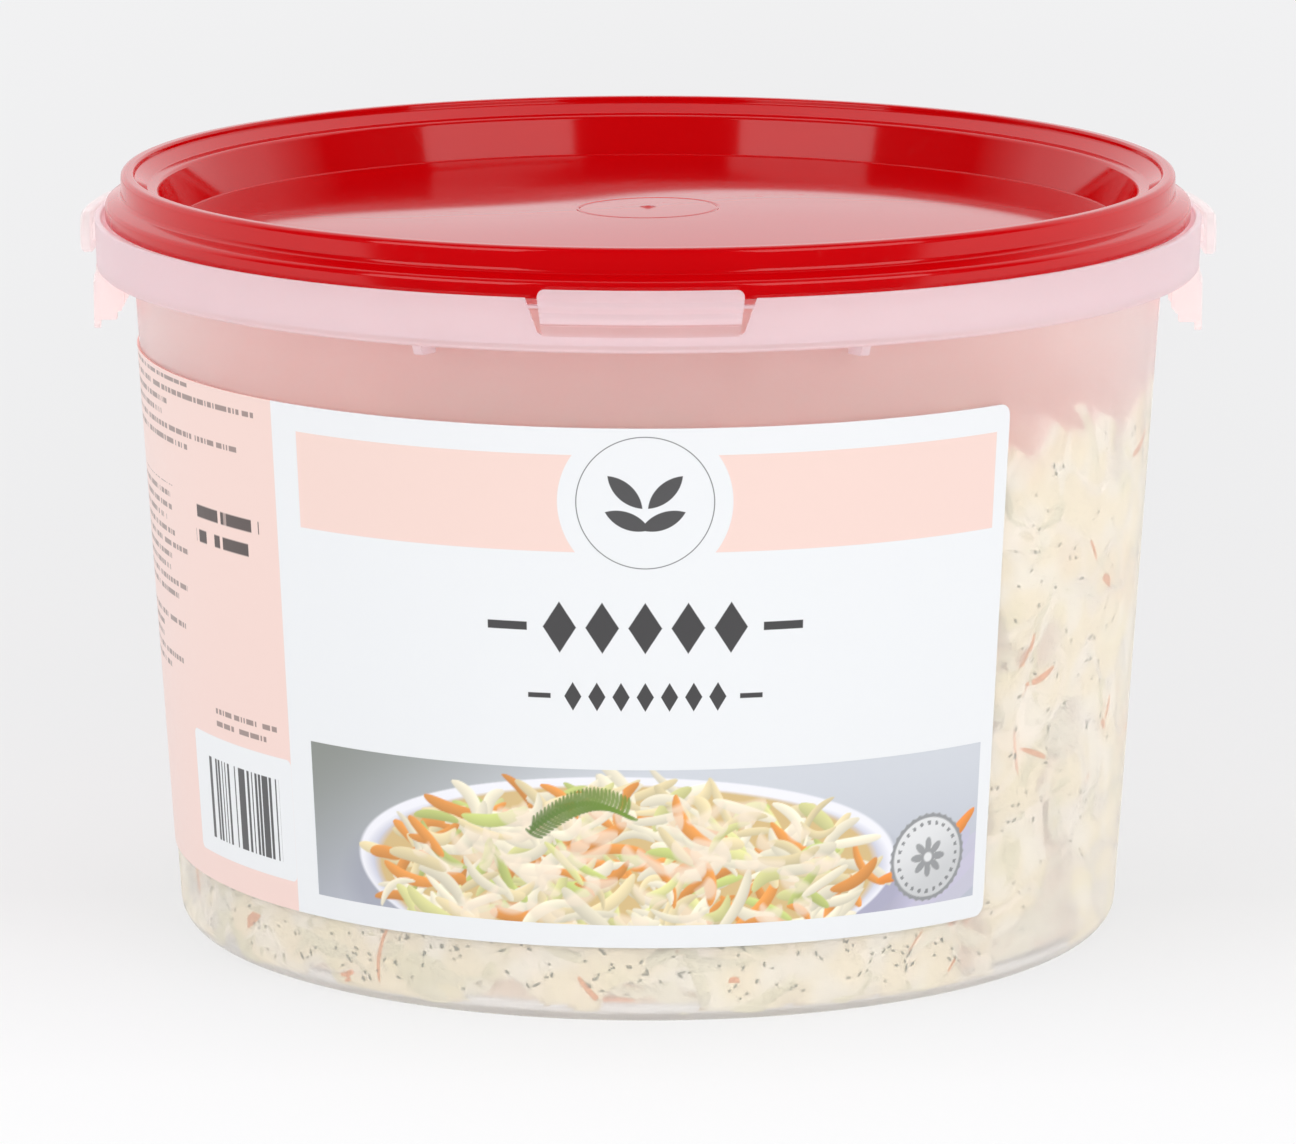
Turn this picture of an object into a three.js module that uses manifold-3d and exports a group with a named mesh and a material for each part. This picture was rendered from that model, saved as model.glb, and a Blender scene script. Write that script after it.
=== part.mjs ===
// A shut 2.5 kg tub of coleslaw: a milky plastic tub with a tear collar, a red push-fit lid,
// a wrap-around label, a bail handle lying round the back, and the coleslaw inside.
// Millimetres, +Z up. The tear tab faces -Y and the tub stands on z = 0, centred on the Z axis.

import * as THREE from 'three';
import { mergeVertices } from 'three/addons/utils/BufferGeometryUtils.js';
import Module from 'manifold-3d';

const wasm = await Module();
wasm.setup();

// Round bodies
const SEGMENTS = 72;

// Tub wall, a straight cone, and its base
const BASE_RADIUS = 87.6;
const NECK_RADIUS = 94.96;
const NECK_HEIGHT = 122.05;
const WALL = 1.1;
const BASE_THICKNESS = 1.5;
const FOOT_ROUND = 2.0;
const TUB_RIM_HEIGHT = 133.6;
const TUB_BEAD_HEIGHT = 3.2;
const TUB_BEAD_SLOPE = 1.0;
const TUB_BEAD_WIDTH = 1.2;

// A round of two facets has its middle point at this share of its radius from the corner
const ROUND_SHARE = 0.3;

// Collar, the ring that stands round the lid's skirt
const COLLAR_TOP = 131.4;
const COLLAR_TOP_RADIUS = 102.0;
const COLLAR_FOOT_RADIUS = 101.7;
const COLLAR_INNER_RADIUS = 100.8;
const FLANGE_THICKNESS = 1.2;

// Tear tab, a trapezoid in the collar, narrower at its foot
const TAB_FOOT_HEIGHT = 125.2;
const TAB_TOP_HEIGHT = 133.1;
const TAB_TOP_HALF_WIDTH = 17.9;
const TAB_FOOT_HALF_WIDTH = 16.8;
const TAB_CORNER_ROUND = 1.4;
const NOTCH_TOP_HALF_WIDTH = 19.8;
const NOTCH_FOOT_HALF_WIDTH = 17.6;
const TAB_FOOT_RADIUS = 102.2;
const TAB_FOOT_SINK = 0.3;
const TAB_INSET = 0.1;
const TEAR_LINE_DEPTH = 0.3;
const TAB_FLARE = 0.75;
const TAB_RIBS = 3;
const TAB_RIB_PITCH = 2.0;
const TAB_RIB_DEPTH = 0.35;
const BRIDGE_HEIGHT = 130.0;
const BRIDGE_SIZE = 0.5;
const BRIDGE_LENGTH = 2.6;
const BRIDGE_DEPTH = 1.7;
const BRIDGE_X = 18.5;
const BRIDGE_Y = -99.75;

// Gusset teeth under the collar, measured from the tab
const GUSSET_ANGLES = [22.5, -22.5, 157.5, -157.5];
const GUSSET_DROP = 2.2;
const GUSSET_WIDTH = 1.6;
const GUSSET_SINK = 0.5;
const GUSSET_FOOT_INSET = 1.5;
const GUSSET_TOP_INSET = 0.4;
const GUSSET_OUTER_SHARE = 0.8;

// Ears that hang below the collar under the handle's pins
const EAR_HALF_WIDTH = 12.0;
const EAR_FOOT_HEIGHT = 110.7;
const EAR_OUTER_RADIUS = 102.35;
const EAR_THICKNESS = 1.25;
const EAR_STEP_HEIGHT = 119.7;
const EAR_STEP_RISE = 0.4;
const EAR_CORNER_ROUND = 2.5;
const WEB_INNER_RADIUS = 96.3;
const WEB_FOOT_HEIGHT = 112.3;
const WEB_STEP = 1.3;
const WEB_THICKNESS = 1.4;
const WEB_OFFSETS = [-9.5, 0, 9.5];

// Lid
const LID_RIM_OUTER = 97.1;
const LID_RIM_INNER = 94.7;
const LID_TOP = 139.5;
const LID_RIM_FOOT = 135.2;
const LID_RIM_ROUND = 0.9;
const LID_SKIRT_RADIUS = 100.0;
const LID_SHOULDER_HEIGHT = 133.9;
const LID_SHOULDER_ROUND = 0.4;
const LID_SKIRT_FOOT = 131.0;
const LID_WALL = 0.95;
const LID_LEDGE_OUTER = 92.2;
const LID_LEDGE_HEIGHT = 136.6;
const LID_LEDGE_INNER = 90.2;
const LID_LEDGE_DROP = 0.35;
const LID_LEDGE_ROUND = 0.3;
const LID_PANEL_RADIUS = 88.1;
const LID_PANEL_EDGE_HEIGHT = 128.85;
const LID_PANEL_BULGE = 3.0;
const LID_PANEL_RINGS = 4;

// Label, a skin on the cone, as angles from the tab, positive towards +X
const LABEL_FOOT = 14.05;
const LABEL_TOP = 107.8;
const LABEL_GAP = 0.15;
const LABEL_THICKNESS = 0.3;
const LABEL_RIGHT_EDGE = 43.0;
const LABEL_WRAP = 200.0;

// Handle, a strap that turns on two pins in the collar
const PIVOT_HEIGHT = 127.2;
const STRAP_HEIGHT = 7.8;
const STRAP_INNER_X = 102.6;
const STRAP_INNER_Y = 103.9;
const STRAP_THICKNESS = 2.2;
const STRAP_SEGMENTS = 36;
const GRIP_HALF_ANGLE = 24.0;
const GRIP_EXTRA_HEIGHT = 1.6;
const PIN_RADIUS = 1.6;
const PIN_TIP = 101.1;
const PIN_ROOT = 0.8;
const PIN_HOLE_RADIUS = 2.0;

// Coleslaw, a core with shreds fused on at its wall and its top
const SLAW_GAP = 0.35;
const SLAW_TOP = 101.5;
const SLAW_CORE_DEPTH = 1.6;
const SLAW_FOOT_ROUND = 3.0;
const SLAW_BANDS = 6;
const SLAW_BANDS_FOOT = 9;
const SLAW_BANDS_TOP = SLAW_TOP - 4;
const SLAW_SEED = 119;

// Shreds at the wall: how many, the depths of their faces behind the wall, and their sizes
const WALL_SHREDS = 54;
const WALL_SHRED_DEPTHS = [0, 0.5, 0.25, 0.75];
const WALL_SHRED_SINK = 1.2;
const WALL_SHRED_LENGTH = [14, 34];
const WALL_SHRED_WIDTH = [3.0, 5.5];
const WALL_SHRED_CLIMB = 1.3;

// Shreds on top, spread as the seeds of a sunflower are
const TOP_SHREDS = 30;
const TOP_SHRED_LENGTH = [16, 34];
const TOP_SHRED_WIDTH = [3.0, 5.0];
const TOP_SHRED_RISE = [1.8, 5.0];
const TOP_SHRED_FOOT = 3.6;
const TOP_SHRED_BOW = 0.12;
const TOP_SHRED_TILT = 0.3;
const TOP_SHRED_END_WIDTH = 0.6;
const GOLDEN_ANGLE = 2.399963;

const FULL_TURN = Math.PI * 2;

// Tools that only cut reach this far past what they cut
const CUT_REACH = 4;

function radians(degrees) {
  return degrees * Math.PI / 180;
}

function tubRadius(height) {
  return BASE_RADIUS + (NECK_RADIUS - BASE_RADIUS) * height / NECK_HEIGHT;
}

// A small repeatable random source, so that the heap is the same every time
function seededRandom(seed) {
  let state = seed;
  return () => {
    state = (state * 1664525 + 1013904223) % 4294967296;
    return state / 4294967296;
  };
}

function toSolid(geometry) {
  const bare = geometry.clone();
  bare.deleteAttribute('normal');
  bare.deleteAttribute('uv');
  const merged = mergeVertices(bare, 1e-4);
  return new wasm.Manifold(new wasm.Mesh({
    numProp: 3,
    vertProperties: Float32Array.from(merged.attributes.position.array),
    triVerts: Uint32Array.from(merged.index.array),
  }));
}

function toMesh(name, solid, material) {
  const made = solid.getMesh();
  const geometry = new THREE.BufferGeometry();
  geometry.setAttribute('position', new THREE.BufferAttribute(made.vertProperties, 3));
  geometry.setIndex(new THREE.BufferAttribute(made.triVerts, 1));
  geometry.computeVertexNormals();
  const mesh = new THREE.Mesh(geometry, material);
  mesh.name = name;
  return mesh;
}

// A profile of [radius, height] pairs turned about the Z axis, starting from the tab's side.
// It runs up the outside, or from the axis out and up.
function turned(profile, closed) {
  const points = profile.map(([radius, height]) => new THREE.Vector2(radius, height));
  if (closed) {
    points.push(points[0].clone());
  }
  const geometry = new THREE.LatheGeometry(points, SEGMENTS);
  geometry.rotateX(Math.PI / 2);
  return toSolid(geometry);
}

function outline(corners) {
  const shape = new THREE.Shape();
  corners.forEach(([x, y], index) => {
    if (index === 0) {
      shape.moveTo(x, y);
    } else {
      shape.lineTo(x, y);
    }
  });
  shape.closePath();
  return shape;
}

function prism(shape, depth) {
  return new THREE.ExtrudeGeometry(shape, { depth, bevelEnabled: false, curveSegments: 5 });
}

// A prism whose outline lies in the XZ plane, from y = start to y = start + depth
function prismAlongY(shape, start, depth) {
  const geometry = prism(shape, depth);
  geometry.rotateX(Math.PI / 2);
  geometry.translate(0, start + depth, 0);
  return toSolid(geometry);
}

// A prism whose outline lies in the YZ plane, from x = start to x = start + depth
function prismAlongX(shape, start, depth) {
  const geometry = prism(shape, depth);
  geometry.rotateX(Math.PI / 2);
  geometry.rotateZ(Math.PI / 2);
  geometry.translate(start, 0, 0);
  return toSolid(geometry);
}

function aboutZ(solid, angle) {
  return solid.rotate([0, 0, angle]);
}

// Tub: one moulding of wall, base, flange, collar, tear tab, gussets and ears
function makeTubShell() {
  const flangeTop = NECK_HEIGHT + FLANGE_THICKNESS;
  const rimOuter = tubRadius(TUB_RIM_HEIGHT);
  const beadFoot = TUB_RIM_HEIGHT - TUB_BEAD_HEIGHT;
  return turned([
    [0, 0],
    [BASE_RADIUS - FOOT_ROUND, 0],
    [BASE_RADIUS - FOOT_ROUND * ROUND_SHARE, FOOT_ROUND * ROUND_SHARE],
    [tubRadius(FOOT_ROUND), FOOT_ROUND],
    [NECK_RADIUS, NECK_HEIGHT],
    [COLLAR_FOOT_RADIUS, NECK_HEIGHT],
    [COLLAR_TOP_RADIUS, COLLAR_TOP],
    [COLLAR_INNER_RADIUS, COLLAR_TOP],
    [COLLAR_INNER_RADIUS, flangeTop],
    [tubRadius(flangeTop), flangeTop],
    [tubRadius(beadFoot), beadFoot],
    [rimOuter + TUB_BEAD_WIDTH, beadFoot + TUB_BEAD_SLOPE],
    [rimOuter + TUB_BEAD_WIDTH / 2, TUB_RIM_HEIGHT],
    [rimOuter - WALL, TUB_RIM_HEIGHT],
    [tubRadius(BASE_THICKNESS + FOOT_ROUND) - WALL, BASE_THICKNESS + FOOT_ROUND],
    [BASE_RADIUS - FOOT_ROUND - WALL, BASE_THICKNESS],
    [0, BASE_THICKNESS],
  ], false);
}

function trapezoid(footHalfWidth, foot, topHalfWidth, top) {
  return outline([
    [-footHalfWidth, foot],
    [footHalfWidth, foot],
    [topHalfWidth, top],
    [-topHalfWidth, top],
  ]);
}

function makeTabNotch() {
  const slope = (NOTCH_TOP_HALF_WIDTH - NOTCH_FOOT_HALF_WIDTH) / (COLLAR_TOP - TAB_FOOT_HEIGHT);
  const overshoot = 1.0;
  const notch = trapezoid(
    NOTCH_FOOT_HALF_WIDTH,
    TAB_FOOT_HEIGHT,
    NOTCH_TOP_HALF_WIDTH + slope * overshoot,
    COLLAR_TOP + overshoot,
  );
  return prismAlongY(notch, -COLLAR_TOP_RADIUS - CUT_REACH, CUT_REACH * 2);
}

function tabRadius(height) {
  const share = (height - TAB_FOOT_HEIGHT) / (TAB_TOP_HEIGHT - TAB_FOOT_HEIGHT);
  return TAB_FOOT_RADIUS + TAB_FLARE * share;
}

// The tab flares outwards and carries finger ribs above a thin tearing line
function makeTab() {
  const foot = TAB_FOOT_HEIGHT - TAB_FOOT_SINK;
  const tearTop = TAB_TOP_HEIGHT - TAB_RIBS * TAB_RIB_PITCH;
  const profile = [
    [COLLAR_INNER_RADIUS + TAB_INSET, foot],
    [COLLAR_TOP_RADIUS - TAB_INSET, foot],
    [COLLAR_TOP_RADIUS - TEAR_LINE_DEPTH, tearTop - TEAR_LINE_DEPTH],
  ];
  for (let rib = 0; rib < TAB_RIBS; rib += 1) {
    const start = tearTop + rib * TAB_RIB_PITCH;
    const crest = start + TAB_RIB_PITCH * 0.5;
    profile.push([tabRadius(start), start]);
    profile.push([tabRadius(crest) + TAB_RIB_DEPTH, crest]);
  }
  profile.push([tabRadius(TAB_TOP_HEIGHT), TAB_TOP_HEIGHT]);
  profile.push([TAB_FOOT_RADIUS - TAB_INSET, TAB_TOP_HEIGHT]);
  profile.push([COLLAR_INNER_RADIUS + TAB_INSET * 2, tearTop]);
  const ring = turned(profile, true);

  const face = new THREE.Shape();
  face.moveTo(-TAB_FOOT_HALF_WIDTH, foot - 1);
  face.lineTo(TAB_FOOT_HALF_WIDTH, foot - 1);
  face.lineTo(TAB_TOP_HALF_WIDTH, TAB_TOP_HEIGHT - TAB_CORNER_ROUND);
  face.quadraticCurveTo(
    TAB_TOP_HALF_WIDTH,
    TAB_TOP_HEIGHT,
    TAB_TOP_HALF_WIDTH - TAB_CORNER_ROUND,
    TAB_TOP_HEIGHT,
  );
  face.lineTo(TAB_CORNER_ROUND - TAB_TOP_HALF_WIDTH, TAB_TOP_HEIGHT);
  face.quadraticCurveTo(
    -TAB_TOP_HALF_WIDTH,
    TAB_TOP_HEIGHT,
    -TAB_TOP_HALF_WIDTH,
    TAB_TOP_HEIGHT - TAB_CORNER_ROUND,
  );
  face.closePath();
  return ring.intersect(prismAlongY(face, -COLLAR_TOP_RADIUS - CUT_REACH, CUT_REACH * 2));
}

// Two thin threads of plastic hold the tab until it is torn
function makeTabBridge(side) {
  const geometry = new THREE.BoxGeometry(BRIDGE_LENGTH, BRIDGE_DEPTH, BRIDGE_SIZE);
  geometry.translate(side * BRIDGE_X, BRIDGE_Y, BRIDGE_HEIGHT);
  return toSolid(geometry);
}

function makeGusset(angle) {
  const inner = NECK_RADIUS - WALL * 0.5;
  const tooth = outline([
    [inner, NECK_HEIGHT - GUSSET_DROP],
    [COLLAR_FOOT_RADIUS - GUSSET_FOOT_INSET, NECK_HEIGHT - GUSSET_DROP * GUSSET_OUTER_SHARE],
    [COLLAR_FOOT_RADIUS - GUSSET_TOP_INSET, NECK_HEIGHT + GUSSET_SINK],
    [inner, NECK_HEIGHT + GUSSET_SINK],
  ]);
  const solid = prismAlongY(tooth, -GUSSET_WIDTH / 2, GUSSET_WIDTH);
  return aboutZ(solid, angle - 90);
}

function makeEarPlate() {
  const top = NECK_HEIGHT + FLANGE_THICKNESS * 0.5;
  const inner = EAR_OUTER_RADIUS - EAR_THICKNESS;
  const ring = turned([
    [inner, EAR_FOOT_HEIGHT],
    [EAR_OUTER_RADIUS, EAR_FOOT_HEIGHT],
    [EAR_OUTER_RADIUS, EAR_STEP_HEIGHT],
    [COLLAR_TOP_RADIUS, EAR_STEP_HEIGHT + EAR_STEP_RISE],
    [COLLAR_FOOT_RADIUS, top],
    [inner, top],
  ], true);
  const half = EAR_HALF_WIDTH;
  const foot = EAR_FOOT_HEIGHT;
  const round = EAR_CORNER_ROUND;
  const face = new THREE.Shape();
  face.moveTo(round - half, foot);
  face.lineTo(half - round, foot);
  face.quadraticCurveTo(half, foot, half, foot + round);
  face.lineTo(half, top + 1);
  face.lineTo(-half, top + 1);
  face.lineTo(-half, foot + round);
  face.quadraticCurveTo(-half, foot, round - half, foot);
  face.closePath();
  return ring.intersect(prismAlongX(face, COLLAR_TOP_RADIUS - CUT_REACH, CUT_REACH * 2));
}

function makeEarWeb(offset) {
  const top = NECK_HEIGHT + FLANGE_THICKNESS * 0.5;
  const outer = Math.sqrt((EAR_OUTER_RADIUS - EAR_THICKNESS * 0.5) ** 2 - offset ** 2);
  const web = outline([
    [WEB_INNER_RADIUS, WEB_FOOT_HEIGHT + WEB_STEP * 2],
    [WEB_INNER_RADIUS + WEB_STEP, WEB_FOOT_HEIGHT + WEB_STEP],
    [WEB_INNER_RADIUS + WEB_STEP, WEB_FOOT_HEIGHT],
    [outer, WEB_FOOT_HEIGHT],
    [outer, top],
    [WEB_INNER_RADIUS, top],
  ]);
  return prismAlongY(web, offset - WEB_THICKNESS / 2, WEB_THICKNESS);
}

function makeEar(turn) {
  let ear = makeEarPlate();
  for (const offset of WEB_OFFSETS) {
    ear = ear.add(makeEarWeb(offset));
  }
  return aboutZ(ear, turn);
}

function makePinHole(side) {
  const geometry = new THREE.CylinderGeometry(PIN_HOLE_RADIUS, PIN_HOLE_RADIUS, CUT_REACH, 16);
  geometry.rotateZ(Math.PI / 2);
  geometry.translate(side * COLLAR_TOP_RADIUS, 0, PIVOT_HEIGHT);
  return toSolid(geometry);
}

function makeTub() {
  let tub = makeTubShell();
  tub = tub.subtract(makeTabNotch());
  tub = tub.add(makeTab());
  for (const side of [-1, 1]) {
    tub = tub.add(makeTabBridge(side));
  }
  for (const angle of GUSSET_ANGLES) {
    tub = tub.add(makeGusset(angle));
  }
  tub = tub.add(makeEar(0)).add(makeEar(180));
  return tub.subtract(makePinHole(1)).subtract(makePinHole(-1));
}

// The lid's panel bulges upwards, highest at its centre
function panelHeight(radius) {
  return LID_PANEL_EDGE_HEIGHT + LID_PANEL_BULGE * (1 - (radius / LID_PANEL_RADIUS) ** 2);
}

// Lid: a raised rim, a skirt inside the collar, and a sunken panel that another tub stacks into
function makeLid() {
  const roof = LID_RIM_FOOT - LID_WALL;
  const skirtInner = LID_SKIRT_RADIUS - LID_WALL;
  const panelAt = (ring) => LID_PANEL_RADIUS * ring / LID_PANEL_RINGS;
  const under = [];
  const above = [];
  for (let ring = 0; ring < LID_PANEL_RINGS; ring += 1) {
    under.push([panelAt(ring), panelHeight(panelAt(ring)) - LID_WALL]);
    above.unshift([panelAt(ring), panelHeight(panelAt(ring))]);
  }
  return turned([
    ...under,
    [LID_PANEL_RADIUS + LID_WALL, LID_PANEL_EDGE_HEIGHT - LID_WALL],
    [LID_LEDGE_INNER + LID_WALL, roof],
    [LID_RIM_OUTER, roof],
    [skirtInner, LID_SHOULDER_HEIGHT - LID_WALL],
    [skirtInner, LID_SKIRT_FOOT],
    [LID_SKIRT_RADIUS, LID_SKIRT_FOOT],
    [LID_SKIRT_RADIUS, LID_SHOULDER_HEIGHT - LID_SHOULDER_ROUND],
    [LID_SKIRT_RADIUS - LID_SHOULDER_ROUND, LID_SHOULDER_HEIGHT],
    [LID_RIM_OUTER, LID_RIM_FOOT],
    [LID_RIM_OUTER, LID_TOP - LID_RIM_ROUND],
    [LID_RIM_OUTER - LID_RIM_ROUND * ROUND_SHARE, LID_TOP - LID_RIM_ROUND * ROUND_SHARE],
    [LID_RIM_OUTER - LID_RIM_ROUND, LID_TOP],
    [LID_RIM_INNER + LID_RIM_ROUND, LID_TOP],
    [LID_RIM_INNER, LID_TOP - LID_RIM_ROUND],
    [LID_LEDGE_OUTER, LID_LEDGE_HEIGHT],
    [LID_LEDGE_INNER, LID_LEDGE_HEIGHT - LID_LEDGE_DROP],
    [LID_LEDGE_INNER - LID_LEDGE_ROUND, LID_LEDGE_HEIGHT - LID_LEDGE_DROP * 3],
    [LID_PANEL_RADIUS, LID_PANEL_EDGE_HEIGHT],
    ...above,
  ], false);
}

// Label: a skin that wraps the cone from its right edge leftwards to the back
function makeLabel() {
  const inner = (height) => tubRadius(height) + LABEL_GAP;
  const skin = turned([
    [inner(LABEL_FOOT), LABEL_FOOT],
    [inner(LABEL_FOOT) + LABEL_THICKNESS, LABEL_FOOT],
    [inner(LABEL_TOP) + LABEL_THICKNESS, LABEL_TOP],
    [inner(LABEL_TOP), LABEL_TOP],
  ], true);
  const reach = NECK_RADIUS * 2;
  const steps = 8;
  const corners = [[0, 0]];
  for (let step = 0; step <= steps; step += 1) {
    const angle = radians(LABEL_RIGHT_EDGE - LABEL_WRAP * step / steps);
    corners.push([reach * Math.sin(angle), -reach * Math.cos(angle)]);
  }
  const sector = prism(outline(corners.reverse()), LABEL_TOP + LABEL_FOOT);
  return skin.intersect(toSolid(sector));
}

// Handle: a strap round the back, thicker at its middle, with a round boss and a pin at each end
function strapCorners(sweepStart, sweepEnd, steps) {
  const corners = [];
  for (let step = 0; step <= steps; step += 1) {
    const angle = sweepStart + (sweepEnd - sweepStart) * step / steps;
    corners.push([
      (STRAP_INNER_X + STRAP_THICKNESS) * Math.cos(angle),
      (STRAP_INNER_Y + STRAP_THICKNESS) * Math.sin(angle),
    ]);
  }
  for (let step = steps; step >= 0; step -= 1) {
    const angle = sweepStart + (sweepEnd - sweepStart) * step / steps;
    corners.push([STRAP_INNER_X * Math.cos(angle), STRAP_INNER_Y * Math.sin(angle)]);
  }
  return corners;
}

function makeStrap(sweepStart, sweepEnd, steps, height) {
  const geometry = prism(outline(strapCorners(sweepStart, sweepEnd, steps)), height);
  geometry.translate(0, 0, PIVOT_HEIGHT - height / 2);
  return toSolid(geometry);
}

function makeHandleEnd(side) {
  const boss = new THREE.CylinderGeometry(STRAP_HEIGHT / 2, STRAP_HEIGHT / 2, STRAP_THICKNESS, 20);
  boss.rotateZ(Math.PI / 2);
  boss.translate(side * (STRAP_INNER_X + STRAP_THICKNESS / 2), 0, PIVOT_HEIGHT);
  const pinLength = STRAP_INNER_X - PIN_TIP + PIN_ROOT;
  const pin = new THREE.CylinderGeometry(PIN_RADIUS, PIN_RADIUS, pinLength, 16);
  pin.rotateZ(Math.PI / 2);
  pin.translate(side * (PIN_TIP + pinLength / 2), 0, PIVOT_HEIGHT);
  return toSolid(boss).add(toSolid(pin));
}

function makeHandle() {
  const middle = Math.PI / 2;
  const half = radians(GRIP_HALF_ANGLE);
  let handle = makeStrap(0, Math.PI, STRAP_SEGMENTS, STRAP_HEIGHT);
  handle = handle.add(makeStrap(middle - half, middle + half, 12, STRAP_HEIGHT + GRIP_EXTRA_HEIGHT));
  return handle.add(makeHandleEnd(1)).add(makeHandleEnd(-1));
}

// Coleslaw: a core, flat shreds laid against the wall, and curled shreds on the uneven top
function slawRadius(height) {
  return tubRadius(height) - WALL - SLAW_GAP;
}

function makeSlawCore() {
  const floor = BASE_THICKNESS + SLAW_GAP;
  const foot = floor + FOOT_ROUND + 1;
  return turned([
    [0, floor],
    [slawRadius(foot) - SLAW_FOOT_ROUND, floor],
    [slawRadius(foot) - SLAW_CORE_DEPTH, foot],
    [slawRadius(SLAW_TOP) - SLAW_CORE_DEPTH, SLAW_TOP - 1.5],
    [slawRadius(SLAW_TOP) * 0.8, SLAW_TOP + 1.0],
    [slawRadius(SLAW_TOP) * 0.45, SLAW_TOP - 0.8],
    [0, SLAW_TOP + 0.6],
  ], false);
}

// A strip that follows the wall, climbing as it goes, with its face at a depth behind the wall
function makeWallShred(angle, height, length, width, climb, depth) {
  const steps = 2;
  const rows = [];
  for (let step = 0; step <= steps; step += 1) {
    const along = length * (step / steps - 0.5);
    const taper = Math.sin(Math.PI * (0.18 + 0.64 * step / steps));
    const middle = height + along * Math.sin(climb);
    const turn = angle + along * Math.cos(climb) / NECK_RADIUS;
    const half = width * 0.5 * taper;
    const rowTurn = half * Math.sin(climb) / NECK_RADIUS;
    const rise = half * Math.cos(climb);
    rows.push([turn + rowTurn, middle - rise, turn - rowTurn, middle + rise]);
  }
  const positions = [];
  const place = (turn, z, radius) => {
    positions.push(radius * Math.sin(turn), -radius * Math.cos(turn), z);
  };
  for (const [lowTurn, lowZ, highTurn, highZ] of rows) {
    const sink = SLAW_CORE_DEPTH + WALL_SHRED_SINK;
    place(lowTurn, lowZ, slawRadius(lowZ) - sink);
    place(lowTurn, lowZ, slawRadius(lowZ) - depth);
    place(highTurn, highZ, slawRadius(highZ) - depth);
    place(highTurn, highZ, slawRadius(highZ) - sink);
  }
  return stripFromRings(positions, rows.length, 4);
}

// Rings of points, one after another, joined into a closed strip with flat ends
function stripFromRings(positions, ringCount, ringSize) {
  const index = [];
  for (let ring = 0; ring + 1 < ringCount; ring += 1) {
    for (let side = 0; side < ringSize; side += 1) {
      const a = ring * ringSize + side;
      const b = ring * ringSize + (side + 1) % ringSize;
      index.push(a, a + ringSize, b, b, a + ringSize, b + ringSize);
    }
  }
  const last = (ringCount - 1) * ringSize;
  for (let side = 1; side + 1 < ringSize; side += 1) {
    index.push(0, side, side + 1);
    index.push(last, last + side + 1, last + side);
  }
  const geometry = new THREE.BufferGeometry();
  geometry.setAttribute('position', new THREE.Float32BufferAttribute(positions, 3));
  geometry.setIndex(index);
  return toSolid(geometry);
}

// A strip on top: it bends over, with both its ends in the core
function makeTopShred(x, y, heading, length, width, rise) {
  const steps = 3;
  const positions = [];
  const foot = SLAW_TOP - TOP_SHRED_FOOT;
  for (let step = 0; step <= steps; step += 1) {
    const share = step / steps;
    const along = length * (share - 0.5);
    const bow = length * TOP_SHRED_BOW * Math.sin(Math.PI * share);
    const centreX = x + along * Math.cos(heading) - bow * Math.sin(heading);
    const centreY = y + along * Math.sin(heading) + bow * Math.cos(heading);
    const top = SLAW_TOP + rise * Math.sin(Math.PI * share);
    const fullness = TOP_SHRED_END_WIDTH + (1 - TOP_SHRED_END_WIDTH) * Math.sin(Math.PI * share);
    const half = width * 0.5 * fullness;
    const acrossX = -Math.sin(heading) * half;
    const acrossY = Math.cos(heading) * half;
    positions.push(centreX + acrossX, centreY + acrossY, foot);
    positions.push(centreX - acrossX, centreY - acrossY, foot);
    positions.push(centreX - acrossX, centreY - acrossY, top + TOP_SHRED_TILT);
    positions.push(centreX + acrossX, centreY + acrossY, top);
  }
  return stripFromRings(positions, steps + 1, 4);
}

// Only the outer skin of the union is kept, so a pocket between shreds is filled
function outerSkin(solid) {
  let best = null;
  for (const piece of solid.decompose()) {
    if (best === null || piece.volume() > best.volume()) {
      best = piece;
    }
  }
  return best;
}

function makeSlaw() {
  const random = seededRandom(SLAW_SEED);
  const between = ([low, high]) => low + (high - low) * random();
  const pieces = [makeSlawCore()];
  const perBand = WALL_SHREDS / SLAW_BANDS;
  const bandHeight = (SLAW_BANDS_TOP - SLAW_BANDS_FOOT) / SLAW_BANDS;
  for (let shred = 0; shred < WALL_SHREDS; shred += 1) {
    const band = shred % SLAW_BANDS;
    const place = Math.floor(shred / SLAW_BANDS) + between([0.1, 0.9]);
    const angle = place / perBand * FULL_TURN;
    const height = SLAW_BANDS_FOOT + bandHeight * (band + between([0.2, 0.9]));
    const length = between(WALL_SHRED_LENGTH);
    const width = between(WALL_SHRED_WIDTH);
    const room = Math.min(height - SLAW_BANDS_FOOT + 3, SLAW_TOP + 3 - height);
    const steepest = Math.asin(Math.min(1, Math.max(0.05, (room - width) / (length * 0.5))));
    const wish = between([-WALL_SHRED_CLIMB, WALL_SHRED_CLIMB]);
    const climb = Math.max(-steepest, Math.min(steepest, wish));
    const depth = WALL_SHRED_DEPTHS[shred % WALL_SHRED_DEPTHS.length];
    pieces.push(makeWallShred(angle, height, length, width, climb, depth));
  }
  for (let shred = 0; shred < TOP_SHREDS; shred += 1) {
    const length = between(TOP_SHRED_LENGTH);
    const reach = slawRadius(SLAW_TOP) - length * 0.5 - SLAW_FOOT_ROUND;
    const distance = reach * Math.sqrt((shred + 0.5) / TOP_SHREDS);
    const angle = shred * GOLDEN_ANGLE + between([-0.2, 0.2]);
    const x = distance * Math.cos(angle);
    const y = distance * Math.sin(angle);
    const heading = between([0, Math.PI]);
    const width = between(TOP_SHRED_WIDTH);
    const rise = between(TOP_SHRED_RISE);
    pieces.push(makeTopShred(x, y, heading, length, width, rise));
  }
  return outerSkin(wasm.Manifold.union(pieces));
}

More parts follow.
